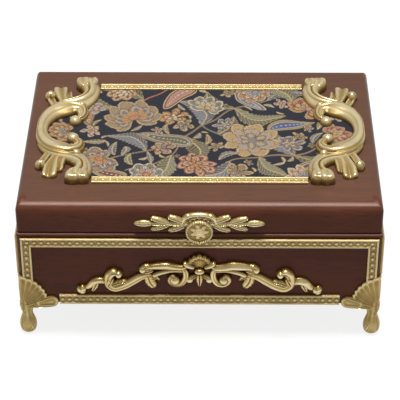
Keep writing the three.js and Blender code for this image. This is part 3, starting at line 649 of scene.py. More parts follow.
def makeTrims(look, wing):
    half, lowHalf, inset = look["width"] / 2, look["lowWidth"] / 2, look["inset"]
    topMid = rimHeight - look["topDrop"] - half
    sweep = np.linspace(pi / 2, wing["angle"], 200)
    reach = wingReach(sweep, wing, look["footGap"])[0]
    wingX, wingZ = reach * np.cos(sweep), reach * np.sin(sweep) - wing["drop"]
    sides = dict(
        front=(halfWidth, "left", "right"), left=(halfDepth, "back", "front"),
        right=(halfDepth, "front", "back"))
    for face, (halfFace, minus, plus) in sides.items():
        turn, origin = faceTurns[face]
        middle = halfFace - inset - half
        low = halfFace - wing["reach"] - look["lowGap"]

        def fix(name, strip, shift):
            shells = [(points + shift, faces, tones) for points, faces, tones in strip[0]]
            makePiece(face + "_" + name + "_bead_trim", carry(shells, turn, origin), stripFinish, "base",
                      [face + "_trim_" + name], rims=strip[1])

        strip = beadStrip(half, look["rail"], lambda v: -(middle + v), lambda v: middle + v, look)
        fix("top", strip, (0, topMid, 0))
        strip = beadStrip(lowHalf, look["rail"], lambda v: 0 * v - low, lambda v: 0 * v + low, look)
        fix("bottom", strip, (0, lowHalf, 0))
        for name, sign in ((minus, -1), (plus, 1)):
            # in the strip's own frame v grows towards -x once it stands upright
            toEdge = lambda v: inset + half + sign * v
            foot = lambda v: np.interp(toEdge(v), wingX, wingZ)
            head = lambda v: topMid + half - look["mitre"] - (toEdge(v) - inset)
            fix(name, beadStrip(half, look["rail"], foot, head, look, True), (sign * middle, 0, 0))
    topLook = dict(look, floor=look["topFloor"], bead=look["topBead"])
    for side in ("front", "back"):
        lo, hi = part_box("top_trim_" + side)
        long = hi.x / mm
        shells, rims = beadStrip(
            look["topWidth"] / 2, look["topRail"], lambda v: 0 * v - long, lambda v: 0 * v + long, topLook)
        centre = (0, (lo.y + hi.y) / 2 / mm, lidTop)
        makePiece("top_" + side + "_bead_trim", carry(shells, onTop, centre), stripFinish, "lid",
                  ["top_trim_" + side], rims=rims)


makeTrims(trimLook, wingLook)
print("trims built")


# roll and hollow are place along the ray, width and height; hem is width and height
footLook = dict(
    back=0.25, base=1.6, ribs=1.1, roll=(0.95, 0.04, 1.2), hollow=(0.82, 0.08, 0.3), hem=(1.5, 0.8),
    corner=3.0, legInset=4.7, plateRadius=33.0, toe=(1.35, 9.5),
    shin=[(12, 3, -0.5), (6, 7, 1.7), (0, 9.4, 2.7), (-6, 9.6, 3.1), (-9, 8.2, 2.7), (-12, 6.6, 1.7),
          (-15, 5, 0.6), (-18, 3.6, -0.6), (-21, 2.4, -2)],
    leg=[(0, 0), (4.6, 0.1), (8.1, 2.6), (9.4, 7.5), (9.4, 11.6), (8.5, 16.2), (7.0, 20.8), (6.0, 24),
         (5.8, 26.8), (6.6, 30.3), (7.9, 35), (8.2, 40)])


# folds the flat wing round the corner of the box: s along the faces, h out from the wood
def foldCorner(s, z, h, radius):
    bend = np.clip(s / radius, -1, 1) * pi / 4 - 3 * pi / 4
    nx, ny = np.cos(bend), np.sin(bend)
    x = radius + radius * nx + np.maximum(s - radius, 0)
    y = radius + radius * ny + np.maximum(-s - radius, 0)
    return np.stack([x + nx * h, y + ny * h, z + 0 * s], -1)


# both wings in one: polar fan with ribs that swell to the scallops, and nested ridges on each ear
def wingShell(look, wing):
    angle = np.linspace(wing["low"], pi - wing["low"], 261)
    angle = np.concatenate([angle[:1], angle, angle[-1:]])[None, :]
    ray = np.concatenate([np.linspace(0, 1, 34), [1]])[:, None]
    folded = np.minimum(angle, pi - angle)
    reach, share = wingReach(folded, wing)
    s, z = reach * ray * np.cos(angle), reach * ray * np.sin(angle) - wing["drop"]
    onFan = share <= 1
    rib = np.abs(np.sin(pi * wing["lobes"] * np.clip(share, 0, 1)))
    lowRib = np.abs(np.sin(pi * 2 * (folded - wing["low"]) / (wing["angle"] - wing["low"])))
    crest = (1 - np.where(onFan, rib, lowRib)) ** 1.6 * np.clip(ray * 1.7, 0.25, 1) * (1 - 0.5 * ray ** 16)
    (rollAt, rollWide, rollHigh), (dipAt, dipWide, dipDeep), (hemWide, hemHigh) = [
        look[key] for key in ("roll", "hollow", "hem")]
    roll = bell(ray - rollAt, rollWide) * onFan * rib
    dip = bell(ray - dipAt, dipWide) * onFan * rib
    hem = bell(reach * ray * np.sin(folded - wing["low"]), hemWide) * np.clip(3 * ray - 0.6, 0, 1)
    rise = look["base"] + look["ribs"] * crest + rollHigh * roll - dipDeep * dip + hemHigh * hem
    # painted highlight on crests, rolled rims and the lower hem, painted shade in the hollows and towards the
    # pivot
    tone = 0.42 + 0.34 * crest + 0.58 * roll - 0.14 * dip - 0.1 * (1 - ray) + 0.4 * hem
    cx, cy = wing["lobe"]
    along = np.clip((cx - np.abs(s)) / wing["earLength"], 0, 1)
    beside = np.abs(s) - cx + along * wing["earLength"]
    above = z + wing["drop"] - cy + along * wing["earFall"]
    away = np.hypot(beside, above) + along * wing["earTaper"]
    ridge = 1.2 * bell(away - wing["earRidge"], 1.2) + 0.9 * bell(away, 2.2)
    onEar = 1 / (1 + np.exp((away - wing["earEdge"]) / 0.35))
    rise = rise * (1 - onEar) + (wing["earHeight"] + ridge) * onEar
    tone = tone * (1 - onEar) + (0.36 + ridge / 2.6) * onEar
    edge = np.ones_like(rise)
    edge[-1] = edge[:, 0] = edge[:, -1] = 0
    front = foldCorner(s, z, look["back"] + rise * edge, look["corner"])
    rear = foldCorner(s, z, look["back"] + 0 * rise, look["corner"])
    return [gridShell(front, tone * (0.2 + 0.8 * edge)), gridShell(rear, 0.2)]


# turned leg: the profile goes round, with a tongue of leaf on the outer side, flutes, and a claw on each side
def legShell(look):
    line = thread(look["leg"], np.linspace(0, 1, 56))[0]
    radius, height = np.maximum(line[:, :1], 0), np.maximum(line[:, 1:2], 0)
    angle = around(64)
    out = np.angle(np.exp(1j * (angle + 3 * pi / 4)))
    tongue = 1.3 * np.sqrt(np.clip((height - 4) / 12, 0, 1)) * np.clip(1.3 - (height - 5) / 40, 0.45, 1)
    leaf = 1 / (1 + np.exp((np.abs(out) - tongue) / 0.05)) * (height > 4)
    rib = bell(out, 0.1) * leaf
    flute = np.cos(8 * angle) * np.clip((height - 14) / 12, 0, 1)
    slant = np.abs(out) - look["toe"][0] + 0.05 * (height - look["toe"][1])
    toe = np.exp(-(slant / 0.34) ** 2 - ((height - look["toe"][1]) / 4.2) ** 2)
    claw = toe * (0.5 + 0.5 * np.cos(slant * 21))
    r = radius + (0.4 * leaf - 0.5 * rib + 0.3 * flute + 0.95 * claw) * np.clip(radius / 4, 0, 1) - 0.6
    r = np.maximum(r, 0) * (radius > 0)
    points = np.stack([r * np.cos(angle), r * np.sin(angle), height - stand + 0 * angle], -1)
    cap = np.stack([0 * angle, 0 * angle, 0 * angle - 1.5], -1)
    # painted light: the claws carry a painted highlight, the ribs and toe hollows painted shade
    tone = 0.46 + 0.15 * leaf - 0.3 * rib + 0.12 * flute + 1.1 * claw - 0.35 * toe
    points = np.concatenate([points, cap]) + (look["legInset"], look["legInset"], 0)
    return gridShell(points, np.concatenate([tone, 0 * angle]), wrap=True)


# root of the fan: a fluted keel over the corner, sunk into the wing above and the leg below
def shinShell(look):
    v = np.linspace(0, 1, 40)
    z, wide, out = [column[:, None] for column in thread(look["shin"], v)[0].T[:3]]
    u = np.linspace(-1, 1, 41)[None, :]
    flute = 0.16 * np.cos(5 * pi * u) * np.sin(pi * v)[:, None]
    front = foldCorner(u * wide, z, out - 3.6 * (1 - np.sqrt(1 - 0.98 * u ** 2)) + flute, look["corner"])
    rear = foldCorner(u[:, ::-1] * wide, z, np.full_like(flute, -4.6), look["corner"])
    ring = np.concatenate([front, rear], 1)
    ring[[0, -1]] = ring[[0, -1]].mean(1, keepdims=True)
    # painted highlight on the flute crests and painted shade in the flutes; the hidden back is darker
    return gridShell(ring, np.concatenate([0.44 + 1.1 * flute, 0.2 + 0 * flute], 1), wrap=True)


# quarter disc under the box, edges eased
def plateShell(look):
    angle = np.concatenate([[0], np.linspace(0, pi / 2, 25), [pi / 2]])[None, :]
    ray = np.array([0, 0.5, 0.985, 1, 1, 0.985, 0.5, 0])[:, None] * look["plateRadius"]
    level = np.array([-0.3, -0.3, -0.3, -0.8, -2.7, -3.2, -3.2, -3.2])[:, None] + 0 * angle
    level[:, [0, -1]] = -1.7
    return gridShell(np.stack([ray * np.cos(angle) - 2, ray * np.sin(angle) - 2, level], -1), 0.5)


# each corner: its name, its signs in x and y, cosine and sine of its quarter turn
cornerTurns = [("front_left", -1, -1, 1, 0), ("front_right", 1, -1, 0, 1),
               ("back_right", 1, 1, -1, 0), ("back_left", -1, 1, 0, -1)]


def makeFeet(look, wing):
    local = wingShell(look, wing) + [legShell(look), shinShell(look), plateShell(look)]
    for name, sx, sy, c, s in cornerTurns:
        turned = carry(local, [(c, s, 0), (-s, c, 0), (0, 0, 1)], (sx * halfWidth, sy * halfDepth, 0))
        makePiece(name + "_fan_foot", turned, brassFinish, "base", ["foot_" + name], 50)


makeFeet(footLook, wingLook)
print("feet built")


scrollLook = dict(
    centre=138.0, setBack=2.5, deck=127.75, curlLift=1.75,
    bed=[(34.6, 0, 5.7, 5), (31.8, 18, 7.2, 5.4), (23.5, 32.5, 10.5, 5.6), (10.5, 44, 12.8, 6),
         (-4.5, 52, 10.8, 6.4), (-14.5, 61.5, 7, 7), (-18.2, 70, 5.8, 7.4), (-18.7, 82, 5.3, 7.8),
         (-16.8, 91, 5, 7.8)],
    bow=[(34.6, 0, 6, 7.6), (31.8, 18, 7.8, 8.4), (24, 31, 10.4, 9.4), (13, 38.8, 11.8, 10.2),
         (2, 41.4, 10, 9.6), (-5, 38.6, 7.8, 8.6), (-8, 31.4, 6, 7), (-6.8, 24.6, 5.2, 6),
         (-2.6, 20, 5, 5.8)],
    hook=[(37.4, 19, 1.8, 5), (33.4, 33, 2.5, 6), (25.4, 44.4, 3.3, 7), (14.5, 51.6, 4.6, 8.2),
          (3.5, 55, 5.8, 9.2), (-5.5, 59.6, 6.6, 10), (-11.8, 67, 7, 10.8), (-13.4, 76, 8, 11.4),
          (-11, 86, 10.4, 12), (-9.4, 95.5, 12, 11.8)],
    lobes=[[(-13, 80, 4.6, 10.4), (-14.8, 89, 6.8, 12.1), (-15, 98.2, 6.6, 11.6)],
           [(-9.4, 80, 4.6, 10.4), (-5.2, 89, 8.2, 12.3), (-4.4, 98.8, 8.2, 11.8)]],
    leaves=[[(22, 41, 3.6, 6.5), (26.4, 53, 4.2, 6.4), (29.6, 62, 4.2, 5.6), (30.6, 69, 3, 4.2)],
            [(13, 46, 3.8, 7.6), (17, 60, 5.2, 8.6), (19.4, 73, 7.8, 8.4), (20.8, 87.5, 8, 5)],
            [(6, 50, 4, 7), (10.2, 62, 5.4, 7.6), (11.6, 77.5, 4.4, 4.8)]],
    buds=[(30.6, 67.6, 6.5, 10)],
    droop=[(0, 44, 3, 6.4), (-3.4, 35, 3.4, 6.2), (-5.6, 26, 1.4, 4)],
    pearls=[(-5.8, 47, 5.2, 7.6), (-0.4, 16.8, 6.8, 7.6)])


# tone in these sections is painted shade in flutes, grooves, creases and dishes and on the flanks
# flutes grow towards both ends of the C, where it turns into its curls
def bowSection(u, t):
    v = u + 0.24 * (1 - u ** 2)
    dome = np.sqrt(1 - 0.94 * v ** 2)
    flute = (0.5 - 0.5 * np.cos(3 * pi * (u + 1))) * np.clip((np.abs(t - 0.5) - 0.22) / 0.12, 0, 1)
    groove = bell(u + 0.7, 0.09)
    crease = bell(u - 0.3, 0.14) * np.clip((t - 0.08) / 0.1, 0, 1) * np.clip((0.92 - t) / 0.1, 0, 1)
    rise = 0.24 + 0.76 * dome - 0.12 * groove - 0.11 * flute - 0.06 * crease
    return rise, 1 - 0.5 * groove - 0.35 * flute - 0.22 * crease - 0.4 * u ** 8


# hollow petal: the middle sinks towards the tip and both edges stand up
def petalSection(u, t):
    shoulder = np.sqrt(1 - 0.95 * u ** 6)
    hollow = bell(u + 0.12, 0.48) * (0.35 + 0.65 * t)
    return 0.2 + 0.8 * shoulder - 0.5 * hollow, 1 - 0.42 * hollow - 0.3 * u ** 8


# square-shouldered knuckle with a slight dish on top
def cuffSection(u, t):
    dome = np.sqrt(1 - 0.96 * np.abs(u) ** 3.4)
    dish = bell(u - 0.1, 0.42)
    return 0.26 + 0.74 * dome - 0.09 * dish, 1 - 0.22 * dish - 0.5 * u ** 8


def makeScrolls(look):
    def whole(half):
        return flip(half[:0:-1], 1) + [list(row) for row in half]

    lift = look["curlLift"]
    shells = [band(whole(look["bed"]), domeSection, 11, 110, (0.6, 0.6))]
    shells.append(band(whole(look["bow"]), bowSection, 25, 150, (0.8, 0.8), lift))
    for side in (lambda rows: rows, lambda rows: flip(rows, 1)):
        shells.append(band(side(look["hook"]), twinSection, 19, 70, (1.0, 0.5)))
        shells += [band(side(lobe), cuffSection, 17, 34, (0.7, 0.42)) for lobe in look["lobes"]]
        shells += [band(side(leaf), petalSection, 19, 34, (0.6, 0.45)) for leaf in look["leaves"]]
        shells += [bud(row, 3, 0.16, 0.6) for row in side(look["buds"])]
        shells.append(band(side(look["droop"]), domeSection, 11, 24, (0.8, 1.0), lift))
        shells += [bud(row, lift=lift) for row in side(look["pearls"])]
    shells = hollowShadeAndPatina(shells, 7.0, dark=0.62)
    for name, sign in (("left", -1), ("right", 1)):
        place = (sign * look["centre"], look["setBack"], look["deck"])
        turned = carry(shells, [(sign, 0, 0), (0, sign, 0), (0, 0, 1)], place)
        makePiece(name + "_c_scroll", turned, giltFinish, "lid", ["c_scroll_" + name], 60)


makeScrolls(scrollLook)
print("C-scrolls built")

garlandLook = dict(
    place=(0, -halfDepth - 0.25, 43.5),
    strokes=[("dome",
              [(4.5, 7.4, 1.8, 6), (9, 9.2, 2.8, 7.2), (13.4, 11.8, 3.3, 7.6), (17.2, 14.6, 2.2, 6)]),
             ("roll",
              [(12, 9.5, 2.6, 5), (17, 6.6, 3.6, 5.6), (26, 6.8, 4.2, 6.2), (34, 8.6, 4.8, 6.6),
               (43, 8.2, 4.4, 6.3), (50, 7.6, 3.8, 6), (57, 6, 2.8, 4.8)]),
             ("leaf", [(48, 4.5, 2.8, 5), (55, 2, 4.2, 5.6), (63, 0.5, 2, 4)]),
             ("leaf", [(50, 8, 2.8, 5), (57, 7, 4, 5.9), (63.8, 4, 1.9, 4)]),
             ("twin",
              [(18, 7, 2.6, 4.5), (15, 1, 3.5, 5), (15.2, -8, 3.8, 5.6), (20, -14.5, 3.9, 6),
               (26.5, -15, 3.6, 6), (30.6, -9.6, 3.8, 6.4), (28.2, -5, 3.4, 6.6), (24.6, -6.4, 2.6, 6.2)]),
             ("dome", [(15, 1.5, 2.1, 3.8), (30, 2, 2.6, 4.2), (42, -1, 2.9, 4.6), (50, -4.5, 3, 5)]),
             ("leaf",
              [(54, -2, 3.4, 4.8), (53.2, -9, 5.8, 5.8), (50, -15.5, 5.4, 6), (46.4, -20, 3.4, 4.6)]),
             ("leaf", [(54, -4, 2.4, 4.4), (45.5, -7, 3.2, 4.6), (42, -11, 1.2, 2.8)]),
             ("twin",
              [(50, -2.5, 3.2, 4.8), (60, -5, 4.4, 5.4), (70, -11.5, 4.9, 5.6), (82, -18.5, 5.1, 6),
               (90.5, -20.6, 4.9, 6.2), (95.8, -16, 5, 6.8), (96, -9, 5.4, 7.3), (94.6, -2.6, 5.2, 7.7),
               (90.8, 0.6, 4.6, 7.9), (85.6, -0.6, 3.8, 7.5)]),
             ("leaf", [(94, -15.5, 3.2, 7.2), (87, -12.6, 4.2, 6.8), (76, -11.6, 1.6, 4.6)]),
             ("leaf", [(97.5, -17, 2.6, 7.4), (94.5, -10.5, 4.4, 8.4), (91, -4.5, 2, 7.4)]),
             ("roll",
              [(97, -14, 3.2, 5), (104, -11.5, 4.3, 5.4), (111, -13, 4.3, 5.4), (116.5, -18.5, 3.6, 4.8),
               (121, -22, 3, 4.4)]),
             ("leaf", [(108, -13, 2.6, 4), (111, -19.5, 3.6, 4.5), (114, -26.5, 1.6, 3)]),
             ("leaf", [(1.5, -3, 2, 4), (9, -7.5, 3.6, 5), (12.4, -10.5, 3.2, 5)])],
    buds=[(25.6, -9.8, 5.6, 7.6, 0), (85.4, -2, 4.6, 8, 0), (125, -23.3, 6, 6.2, 3),
          (10.5, -9.5, 4.7, 5.7, 0), (60, 3.6, 4.4, 6.4, 0)],
    drop=[(0, 0, 2.6, 5), (0, -9, 4.3, 6), (0, -18.8, 1.7, 4)],
    knot=[(-6, 2.6, 3, 6.4), (0, 2.8, 3.6, 8), (6, 2.6, 3, 6.4)],
    shell=dict(ribs=7, spread=0.34, root=6, tall=18.6, fall=0.9,
               rib=((0.08, 1.2, 3.2), (0.55, 2.6, 3.8), (0.86, 3.3, 6.4), (1, 3, 5.6))))


# control rows of a fan's ribs: each leans by a step and is shorter the further it stands from the middle;
# rib rows are share of the length, half width and height
def fanRibs(fan):
    ribs = []
    for turn in np.arange(fan["ribs"]) - (fan["ribs"] - 1) / 2:
        angle, length = turn * fan["spread"], fan["tall"] - fan["fall"] * abs(turn)
        ribs.append([(sin(angle) * length * k, fan["root"] + cos(angle) * length * k, w, h)
                     for k, w, h in fan["rib"]])
    return ribs


def makeGarland(look):
    sections = dict(leaf=leafSection, roll=rollSection, twin=twinSection, dome=domeSection)
    shells = [band(look["drop"], leafSection), band(look["knot"], domeSection)]
    for kind, rows in look["strokes"]:
        count = 16 + 8 * len(rows)
        shells += [band(side, sections[kind], 13, count) for side in (rows, flip(rows, 0))]
    for *row, lobes in look["buds"]:
        shells += [bud(side, lobes, 0.18, 0.9) for side in (row, flip([row], 0)[0])]
    shells += [band(rows, shellSection, 13, 30, (0.5, 1.1)) for rows in fanRibs(look["shell"])]
    placed = carry(hollowShadeAndPatina(shells, 4.0), onFront, look["place"])
    makePiece("front_garland", placed, garlandFinish, "base", ["front_scroll_mount"], 60)


makeGarland(garlandLook)

claspLook = dict(
    place=(0, -halfDepth - 0.25, 106.9),
    strokes=[("dome", [(8, 0, 4, 3.4), (34, 0, 3, 3.3), (50, 0, 2, 3)]),
             ("leaf", [(47, 0, 2, 3), (57.5, 0, 4.1, 4.2), (67.8, 0, 1.9, 2.8)]),
             ("leaf", [(31, 1, 2.6, 3.5), (41.5, 4.8, 3.3, 4.6), (50.5, 7.2, 2.4, 3.6)]),
             ("leaf", [(33, 0, 2.4, 3.8), (43, 0.2, 2.8, 4.7), (51.5, 0.2, 1.8, 3.2)]),
             ("leaf", [(31, -1, 2.6, 3.5), (41.5, -4.8, 3.3, 4.6), (50.5, -7.2, 2.4, 3.6)]),
             ("leaf", [(13, 1, 3, 3.6), (24, 6, 3.7, 4.8), (32.6, 8.8, 2.6, 3.6)]),
             ("leaf", [(15, 0, 3, 3.8), (25, 0.2, 3.1, 4.8), (33.6, 0.2, 2, 3.4)]),
             ("leaf", [(13, -1, 3, 3.6), (24, -6, 3.7, 4.8), (32.6, -8.8, 2.6, 3.6)]),
             ("leaf", [(7, 10.6, 2, 4.4), (12.5, 9.8, 2.8, 5), (17.4, 6, 1.6, 3.4)]),
             ("leaf", [(11, 2, 1.6, 3.6), (15.5, 3, 2.4, 4.2), (19, 0.6, 1.4, 3)])],
    arch=[(18, -1.4, 2.8, 4), (13.5, 7.2, 3.4, 4.8), (0, 11.4, 3, 5.2), (-13.5, 7.2, 3.4, 4.8),
          (-18, -1.4, 2.8, 4)],
    web=[(0, -7.1, 6, 2.5), (0, 0, 11.5, 3), (0, 6, 10.5, 3.2), (0, 10, 6, 3.4)],
    boss=(0, -7.1, 6, 3.75),
    fan=dict(ribs=7, spread=0.36, root=-6, tall=1, fall=0, rib=((9.5, 1.3, 4.0), (15.5, 2.5, 4.0))))


def makeClasp(look):
    sections = dict(leaf=leafSection, dome=domeSection)
    shells = [band(look["arch"], twinSection, 15, 60), band(look["web"], domeSection, 13, 24, (0.3, 0.3)),
              bud(look["boss"])]
    for kind, rows in look["strokes"]:
        shells += [band(side, sections[kind], 13, 28, (0.6, 1.0)) for side in (rows, flip(rows, 0))]
    shells += [band(rows, domeSection, 11, 16) for rows in fanRibs(look["fan"])]
    placed = carry(hollowShadeAndPatina(shells, 3.0, 1.2, 2, 0.3), onFront, look["place"])
    makePiece("clasp_leaf_spray", placed, claspFinish, "lid", ["clasp_spray"], 60)


makeClasp(claspLook)

medallionLook = dict(place=(0, -halfDepth - 4.25, 99.8), radius=14.4, rim=2.6, beads=32, petals=7, boss=2.6)


# round lift: height over a polar grid, a beaded rim, then two rows of petals and a boss
def makeMedallion(look):
    big, rim = look["radius"], look["radius"] - look["rim"]
    r = np.concatenate([np.linspace(0, rim, 26), np.linspace(rim, big, 12)[1:], [big, big]])[:, None]
    angle = around(180)
    ball = np.abs(np.sin(angle * look["beads"] / 2)) ** 0.7
    over = np.sqrt(np.clip(1 - ((r - (rim + big) / 2) / (look["rim"] / 2)) ** 2, 0, 1))
    onRim = r >= rim
    reach = np.abs(np.cos(angle * look["petals"] / 2)) ** 0.8
    outer = np.clip(1 - (r / (rim * (0.62 + 0.3 * reach))) ** 6, 0, 1) * (0.55 + 0.45 * reach)
    turned = np.abs(np.sin(angle * look["petals"] / 2)) ** 0.8
    inner = np.clip(1 - (r / (rim * (0.36 + 0.2 * turned))) ** 6, 0, 1) * (0.5 + 0.5 * turned)
    boss = np.sqrt(np.clip(1 - (r / look["boss"]) ** 2, 0, 1))
    field = 2.0 + 1.4 * outer + 1.1 * inner + 0.9 * boss
    height = np.where(onRim, 2.4 + over * (1.1 + 1.2 * ball), field)
    # tone: painted highlight on the beads, raised petals and boss, painted shade on the sunk field between
    # them
    tone = np.where(onRim, 0.35 + 0.65 * over * ball,
                    0.24 + 0.5 * outer * reach + 0.45 * inner * turned + 0.45 * boss)
    height[-2:] = [[1.0], [0.0]]
    r = r * np.ones_like(height)
    r[-1] -= 0.8
    heart = np.zeros((1, angle.shape[1], 3))
    face = np.stack([r * np.cos(angle), r * np.sin(angle), height], -1)
    shell = gridShell(np.concatenate([face, heart]), np.concatenate([tone, 0.2 + 0 * angle]), wrap=True)
    placed = carry([shell], onFront, look["place"])
    makePiece("clasp_rosette", placed, claspFinish, "lid", ["clasp_medallion"], 60)


makeMedallion(medallionLook)
print("mounts built")


# stems are dye, width and path; leaves and drops are tail, tip, width, bend and dyes;
# blossoms are place, size, petals, turn, how far they open each way from it,
# and the dyes of fringe, petal, inner petal, rim and heart
panelLook = dict(
    half=85.5, low=127.75, high=129.25, rows=218, cols=408, tuck=0.6, seed=11, haze=0.08,
    dyes=dict(ground=(40, 40, 50), gold=(178, 144, 92), straw=(198, 174, 126), cream=(204, 190, 166),
              slate=(104, 112, 128), blue=(74, 92, 134), sage=(124, 124, 102), olive=(98, 98, 80),
              rust=(168, 98, 74), rose=(168, 124, 116), wine=(112, 64, 68), taupe=(146, 120, 94),
              lilac=(150, 142, 150)),
    fill=dict(count=1200, area=(160, 86), largest=13, smallest=3.5, covered=0.04,
              leaves=("sage", "slate", "olive", "taupe", "lilac"),
              flowers=(("taupe", "rose", "straw", "cream", "rust"),
                       ("olive", "gold", "slate", "straw", "wine"))),
    stems=[("taupe", 1.4, [(-122, -84), (-96, -52), (-58, -40), (-22, -16), (4, 14), (36, 44), (74, 62)]),
           ("taupe", 1.3, [(18, -86), (34, -58), (66, -48), (104, -44), (132, -22), (150, 4)]),
           ("rust", 1.2, [(-40, 86), (-62, 60), (-98, 46), (-130, 30), (-150, 6)]),
           ("sage", 1.2, [(116, 86), (104, 62), (122, 40), (142, 26)]),
           ("taupe", 1.1, [(-22, -16), (-30, -44), (-52, -64), (-80, -74)]),
           ("sage", 1.1, [(4, 14), (20, -4), (34, -14), (54, -20)])],
    leaves=[((-96, -52), (-142, -18), 10, 0.18, "sage"), ((-58, -40), (-104, -8), 11, -0.22, "slate"),
            ((-22, -16), (0, -60), 12, 0.22, "olive"), ((4, 14), (-24, 62), 13, -0.22, "slate"),
            ((36, 44), (8, 84), 11, 0.2, "olive"), ((36, 44), (92, 30), 13, -0.24, "sage"),
            ((74, 62), (122, 76), 10, 0.2, "slate"), ((66, -48), (92, -84), 12, -0.22, "sage"),
            ((104, -44), (124, -80), 10, 0.22, "olive"), ((104, -44), (84, -6), 11, 0.2, "slate"),
            ((-62, 60), (-112, 82), 11, -0.22, "olive"), ((-98, 46), (-126, 78), 10, 0.18, "sage"),
            ((34, -58), (-8, -80), 11, 0.22, "slate"), ((-30, -44), (-70, -88), 12, 0.22, "sage"),
            ((20, -4), (36, 30), 10, -0.2, "olive"), ((132, -22), (160, -26), 7, 0.22, "sage"),
            ((-130, 30), (-160, 26), 7, -0.22, "sage"), ((104, 62), (66, 86), 10, -0.2, "sage")],
    drops=[((-16, -24), (-58, 6), 14, 0.32, ("gold", "slate", "straw", "olive")),
           ((80, 6), (118, 30), 13, -0.32, ("gold", "sage", "straw", "blue")),
           ((-12, 84), (-50, 58), 13, 0.32, ("straw", "wine", "gold", "rose")),
           ((130, -62), (94, -66), 11, 0.32, ("gold", "slate", "straw", "wine")),
           ((-138, 54), (-110, 18), 11, -0.3, ("gold", "olive", "straw", "rust")),
           ((44, 76), (60, 40), 11, 0.32, ("straw", "blue", "cream", "slate")),
           ((-84, -84), (-130, -74), 11, -0.3, ("straw", "sage", "gold", "wine"))],
    blossoms=[((-74, 26), 37, 9, 1.9, 2.2, ("taupe", "gold", "slate", "straw", "rust")),
              ((56, -16), 34, 8, 0.5, pi, ("gold", "straw", "lilac", "gold", "slate")),
              ((-106, -54), 27, 7, 3.6, 2.3, ("taupe", "gold", "blue", "straw", "rust")),
              ((118, 46), 27, 8, 0.9, 2.2, ("wine", "rust", "gold", "straw", "rose")),
              ((6, 50), 24, 7, 1.2, 2.1, ("olive", "straw", "slate", "cream", "gold")),
              ((-4, -64), 22, 8, 4.9, pi, ("wine", "rose", "straw", "rust", "gold")),
              ((146, -4), 21, 7, 0.1, 2.2, ("wine", "rust", "rose", "straw", "gold")),
              ((-147, 0), 21, 8, 3.3, 2.2, ("olive", "rust", "gold", "straw", "slate")),
              ((60, 82), 23, 8, 4.2, 2.2, ("taupe", "gold", "rust", "cream", "slate")),
              ((-58, -82), 22, 7, 1.3, 2.1, ("olive", "straw", "blue", "cream", "rust")),
              ((108, -82), 20, 8, 1.8, pi, ("taupe", "straw", "rose", "cream", "blue")),
              ((-88, 82), 20, 7, 4.4, 2.1, ("wine", "rose", "straw", "gold", "cream")),
              ((96, -24), 16, 6, 5.6, pi, ("olive", "lilac", "wine", "cream", "gold")),
              ((-30, 30), 16, 6, 0.4, pi, ("wine", "rust", "straw", "gold", "cream")),
              ((26, 16), 12, 6, 2.2, pi, ("olive", "blue", "straw", "cream", "gold")),
              ((-122, 46), 15, 6, 2.9, pi, ("olive", "lilac", "rose", "cream", "gold")),
              ((40, -76), 15, 6, 1.0, pi, ("taupe", "gold", "slate", "straw", "wine")),
              ((-40, -30), 13, 6, 0.2, pi, ("wine", "rose", "gold", "straw", "blue"))])


class Loom:
    # coordinates, colours and cover of the cloth; each motif is laid over what is there
    def __init__(self, x, y, colour, cover):
        self.x, self.y, self.colour, self.cover = x, y, colour, cover

    # the rows of cloth between two heights, as views
    def strip(self, low, high):
        first, last = np.searchsorted(self.y[:, 0], (low - 5, high + 5))
        return Loom(*[part[first:last] for part in (self.x, self.y, self.colour, self.cover)])

    def lay(self, mask, dye):
        self.colour += mask[..., None] * (dye - self.colour)
        np.maximum(self.cover, mask, out=self.cover)

    # inside of an outline where the distance is below zero, with a thread-wide edge
    def inside(self, distance, edge=0.9):
        return np.clip(0.5 - distance / edge, 0, 1)


# stem: distance to points threaded along the path
def drawStem(loom, dye, width, path):
    away = np.full(loom.x.shape, 1e9)
    for x, y in thread(path, np.linspace(0, 1, 90))[0]:
        away = np.minimum(away, np.hypot(loom.x - x, loom.y - y))
    loom.lay(loom.inside(away - width), dye)


# share along a bent axis, signed distance from it, and the axis length
def bentAxis(loom, tail, tip, bend):
    dx, dy = tip[0] - tail[0], tip[1] - tail[1]
    length = np.hypot(dx, dy)
    s = ((loom.x - tail[0]) * dx + (loom.y - tail[1]) * dy) / length ** 2
    q = ((loom.y - tail[1]) * dx - (loom.x - tail[0]) * dy) / length
    return s, q - bend * length * 4 * s * (1 - s), length


# leaf: half width follows a sine along the axis, toothed; rim, two halves, slanting veins and a midrib
def drawLeaf(loom, tail, tip, width, bend, dye, dyes):
    loom = loom.strip(min(tail[1], tip[1]) - 1.5 * width, max(tail[1], tip[1]) + 1.5 * width)
    s, q, length = bentAxis(loom, tail, tip, bend)
    along = np.clip(s, 0, 1)
    slant = (s * length - np.abs(q) * 0.9) % 4.6
    half = width * np.sin(pi * along ** 0.85) ** 0.85 * (0.9 + 0.1 * np.cos(slant * 2 * pi / 4.6))
    within = (s > 0) & (s < 1)
    loom.lay(loom.inside(np.abs(q) - half - 0.7) * within, 0.4 * dyes["ground"])
    loom.lay(loom.inside(np.abs(q) - half) * within, 0.5 * dyes[dye] + 0.5 * dyes["straw"])
    loom.lay(loom.inside(np.abs(q) - half + 1.2) * within,
             np.where((q > 0)[..., None], dyes[dye], 0.6 * dyes[dye]))
    loom.lay(0.5 * loom.inside(np.abs(slant - 2.3) - 0.6) * loom.inside(np.abs(q) - half + 2.0) * within,
             dyes["straw"])
    loom.lay(loom.inside(np.abs(q) - 0.6) * within * (s < 0.94), dyes["straw"])


